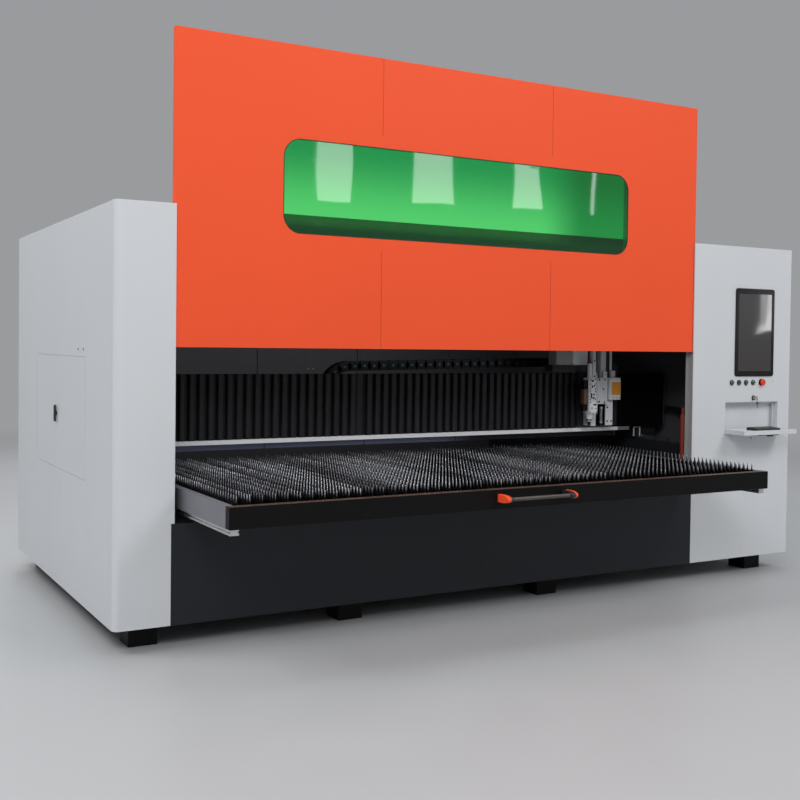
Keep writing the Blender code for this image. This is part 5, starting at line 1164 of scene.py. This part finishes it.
def keys(bm):
    for row in range(5):
        y = -0.114 + row * KEY_ROW
        z = CASE_LOW + 0.012 + (row * KEY_ROW + 0.004) * CASE_SLOPE
        x = 1.996
        space_row = [0.017, 0.013, 0.013, 0.076, 0.013, 0.013, 0.025]
        for width in space_row if row == 0 else [0.011] * 13 + [0.024]:
            slab(bm, (x, x + width), (y, y + 0.0118), (z, z + 0.0026))
            x += width + KEY_GAP


piece("keyboard_case", keyboard_case, plastic, "tray", ["keyboard"], 0.0015, 3)
key_grey = moulded("key_grey", (0.075, 0.072, 0.07), 0.45)
piece("keyboard_keys", keys, key_grey, "tray", bevel=0.0008)


# Studio.
# A plain pale floor that fades into the backdrop, large soft lights, and a camera placed
# where the photograph was taken.

def studio_floor():
    mesh = bpy.data.meshes.new("floor")
    size = 40.0
    corners = [(-size, -size, 0), (size, -size, 0), (size, size, 0), (-size, size, 0)]
    mesh.from_pydata(corners, [], [(0, 1, 2, 3)])
    floor = bpy.data.objects.new("floor", mesh)
    bpy.context.scene.collection.objects.link(floor)
    grey = Finish("floor_paint", (0.46, 0.47, 0.48), 0.45)
    grey.paint(grey.noise(0.7, 4.0), (0.445, 0.455, 0.465), (0.48, 0.49, 0.5))
    grey.set("Roughness", grey.noise(3.0, 5.0) * 0.2 + 0.35)
    far = grey.node("ShaderNodeVectorMath", {0: grey.spot()}, output=1, operation="LENGTH").fade(6.0, 13.0)
    clear = grey.node("ShaderNodeBsdfTransparent")
    solid = Level(grey, grey.shader.outputs[0])
    seen = grey.node("ShaderNodeMixShader", {0: far, 1: solid, 2: clear})
    grey.tree.links.new(seen.socket, grey.tree.nodes["Material Output"].inputs["Surface"])
    mesh.materials.append(grey.material)


studio_floor()


def camera():
    yaw, pitch, roll = (math.radians(a) for a in (-29.628, -1.3506, 0.6839))
    forward = Vector((-math.sin(yaw) * math.cos(pitch), math.cos(yaw) * math.cos(pitch), math.sin(pitch)))
    level = Vector((math.cos(yaw), math.sin(yaw), 0.0))
    rise = level.cross(forward)
    right = level * math.cos(roll) + rise * math.sin(roll)
    up = rise * math.cos(roll) - level * math.sin(roll)
    data = bpy.data.cameras.new("camera")
    data.sensor_width = 36.0
    data.lens = 48.85
    data.shift_y = -0.0374
    data.clip_end = 200.0
    eye = bpy.data.objects.new("camera", data)
    bpy.context.scene.collection.objects.link(eye)
    turn_to = Matrix((right, up, -forward)).transposed().to_4x4()
    eye.matrix_world = Matrix.Translation(Vector((-3.1163, -4.7381, 1.3852)) + SHIFT) @ turn_to
    bpy.context.scene.camera = eye


camera()


def surroundings():
    """An even pale room. The backdrop and what shows through the window have strengths of their own."""
    world = bpy.data.worlds.new("studio")
    bpy.context.scene.world = world
    world.use_nodes = True
    tree = world.node_tree
    ray = tree.nodes.new("ShaderNodeLightPath")

    def glow(node, strength):
        node.inputs["Color"].default_value = (0.8, 0.82, 0.85, 1.0)
        node.inputs["Strength"].default_value = strength
        return node.outputs[0]

    light = glow(tree.nodes["Background"], 0.42)
    for kind, strength in (("Is Camera Ray", 0.4), ("Is Transmission Ray", 0.76)):
        choose = tree.nodes.new("ShaderNodeMixShader")
        tree.links.new(ray.outputs[kind], choose.inputs[0])
        tree.links.new(light, choose.inputs[1])
        tree.links.new(glow(tree.nodes.new("ShaderNodeBackground"), strength), choose.inputs[2])
        light = choose.outputs[0]
    tree.links.new(light, tree.nodes["World Output"].inputs["Surface"])
    bpy.context.scene.view_settings.view_transform = "Standard"


surroundings()


def soft_light(name, spot, target, size, power):
    data = bpy.data.lights.new(name, "AREA")
    data.shape = "RECTANGLE"
    data.size, data.size_y = size
    data.energy = power
    light = bpy.data.objects.new(name, data)
    bpy.context.scene.collection.objects.link(light)
    light.visible_camera = False
    light.visible_transmission = False
    light.location = Vector(spot)
    light.rotation_euler = (Vector(target) - Vector(spot)).to_track_quat("-Z", "Y").to_euler()


soft_light("front_left", (-5.0, -7.0, 6.0), (0.0, 0.0, 1.6), (5.0, 3.0), 330)
soft_light("front_right", (4.5, -7.0, 7.4), (0.5, 0.0, 1.2), (4.0, 3.0), 285)
soft_light("high_left", (-6.5, 1.0, 7.5), (-2.1, 0.4, 1.9), (4.0, 4.0), 255)
soft_light("overhead", (0.0, 0.5, 7.0), (0.0, 0.5, 0.0), (7.0, 5.0), 140)
soft_light("behind", (2.0, 8.0, 4.5), (0.0, 1.0, 1.5), (6.0, 3.0), 140)
soft_light("chamber", (-0.45, 0.3, 1.45), (-0.45, 1.45, 0.98), (3.0, 0.3), 5)
HIGH_LAMPS = ((3.1, 3.62, 0.55), (4.62, 3.68, 0.62), (6.2, 3.7, 0.45), (7.44, 3.7, 0.07), (11.15, 2.05, 0.3))
for number, (x, z, width) in enumerate(HIGH_LAMPS):
    place = Vector((x, -8.0, z)) + SHIFT
    soft_light(f"high_lamp_{number}", place, place + Vector((0.0, 1.0, 0.0)), (width, 0.72), 7.5 * width / 0.55)
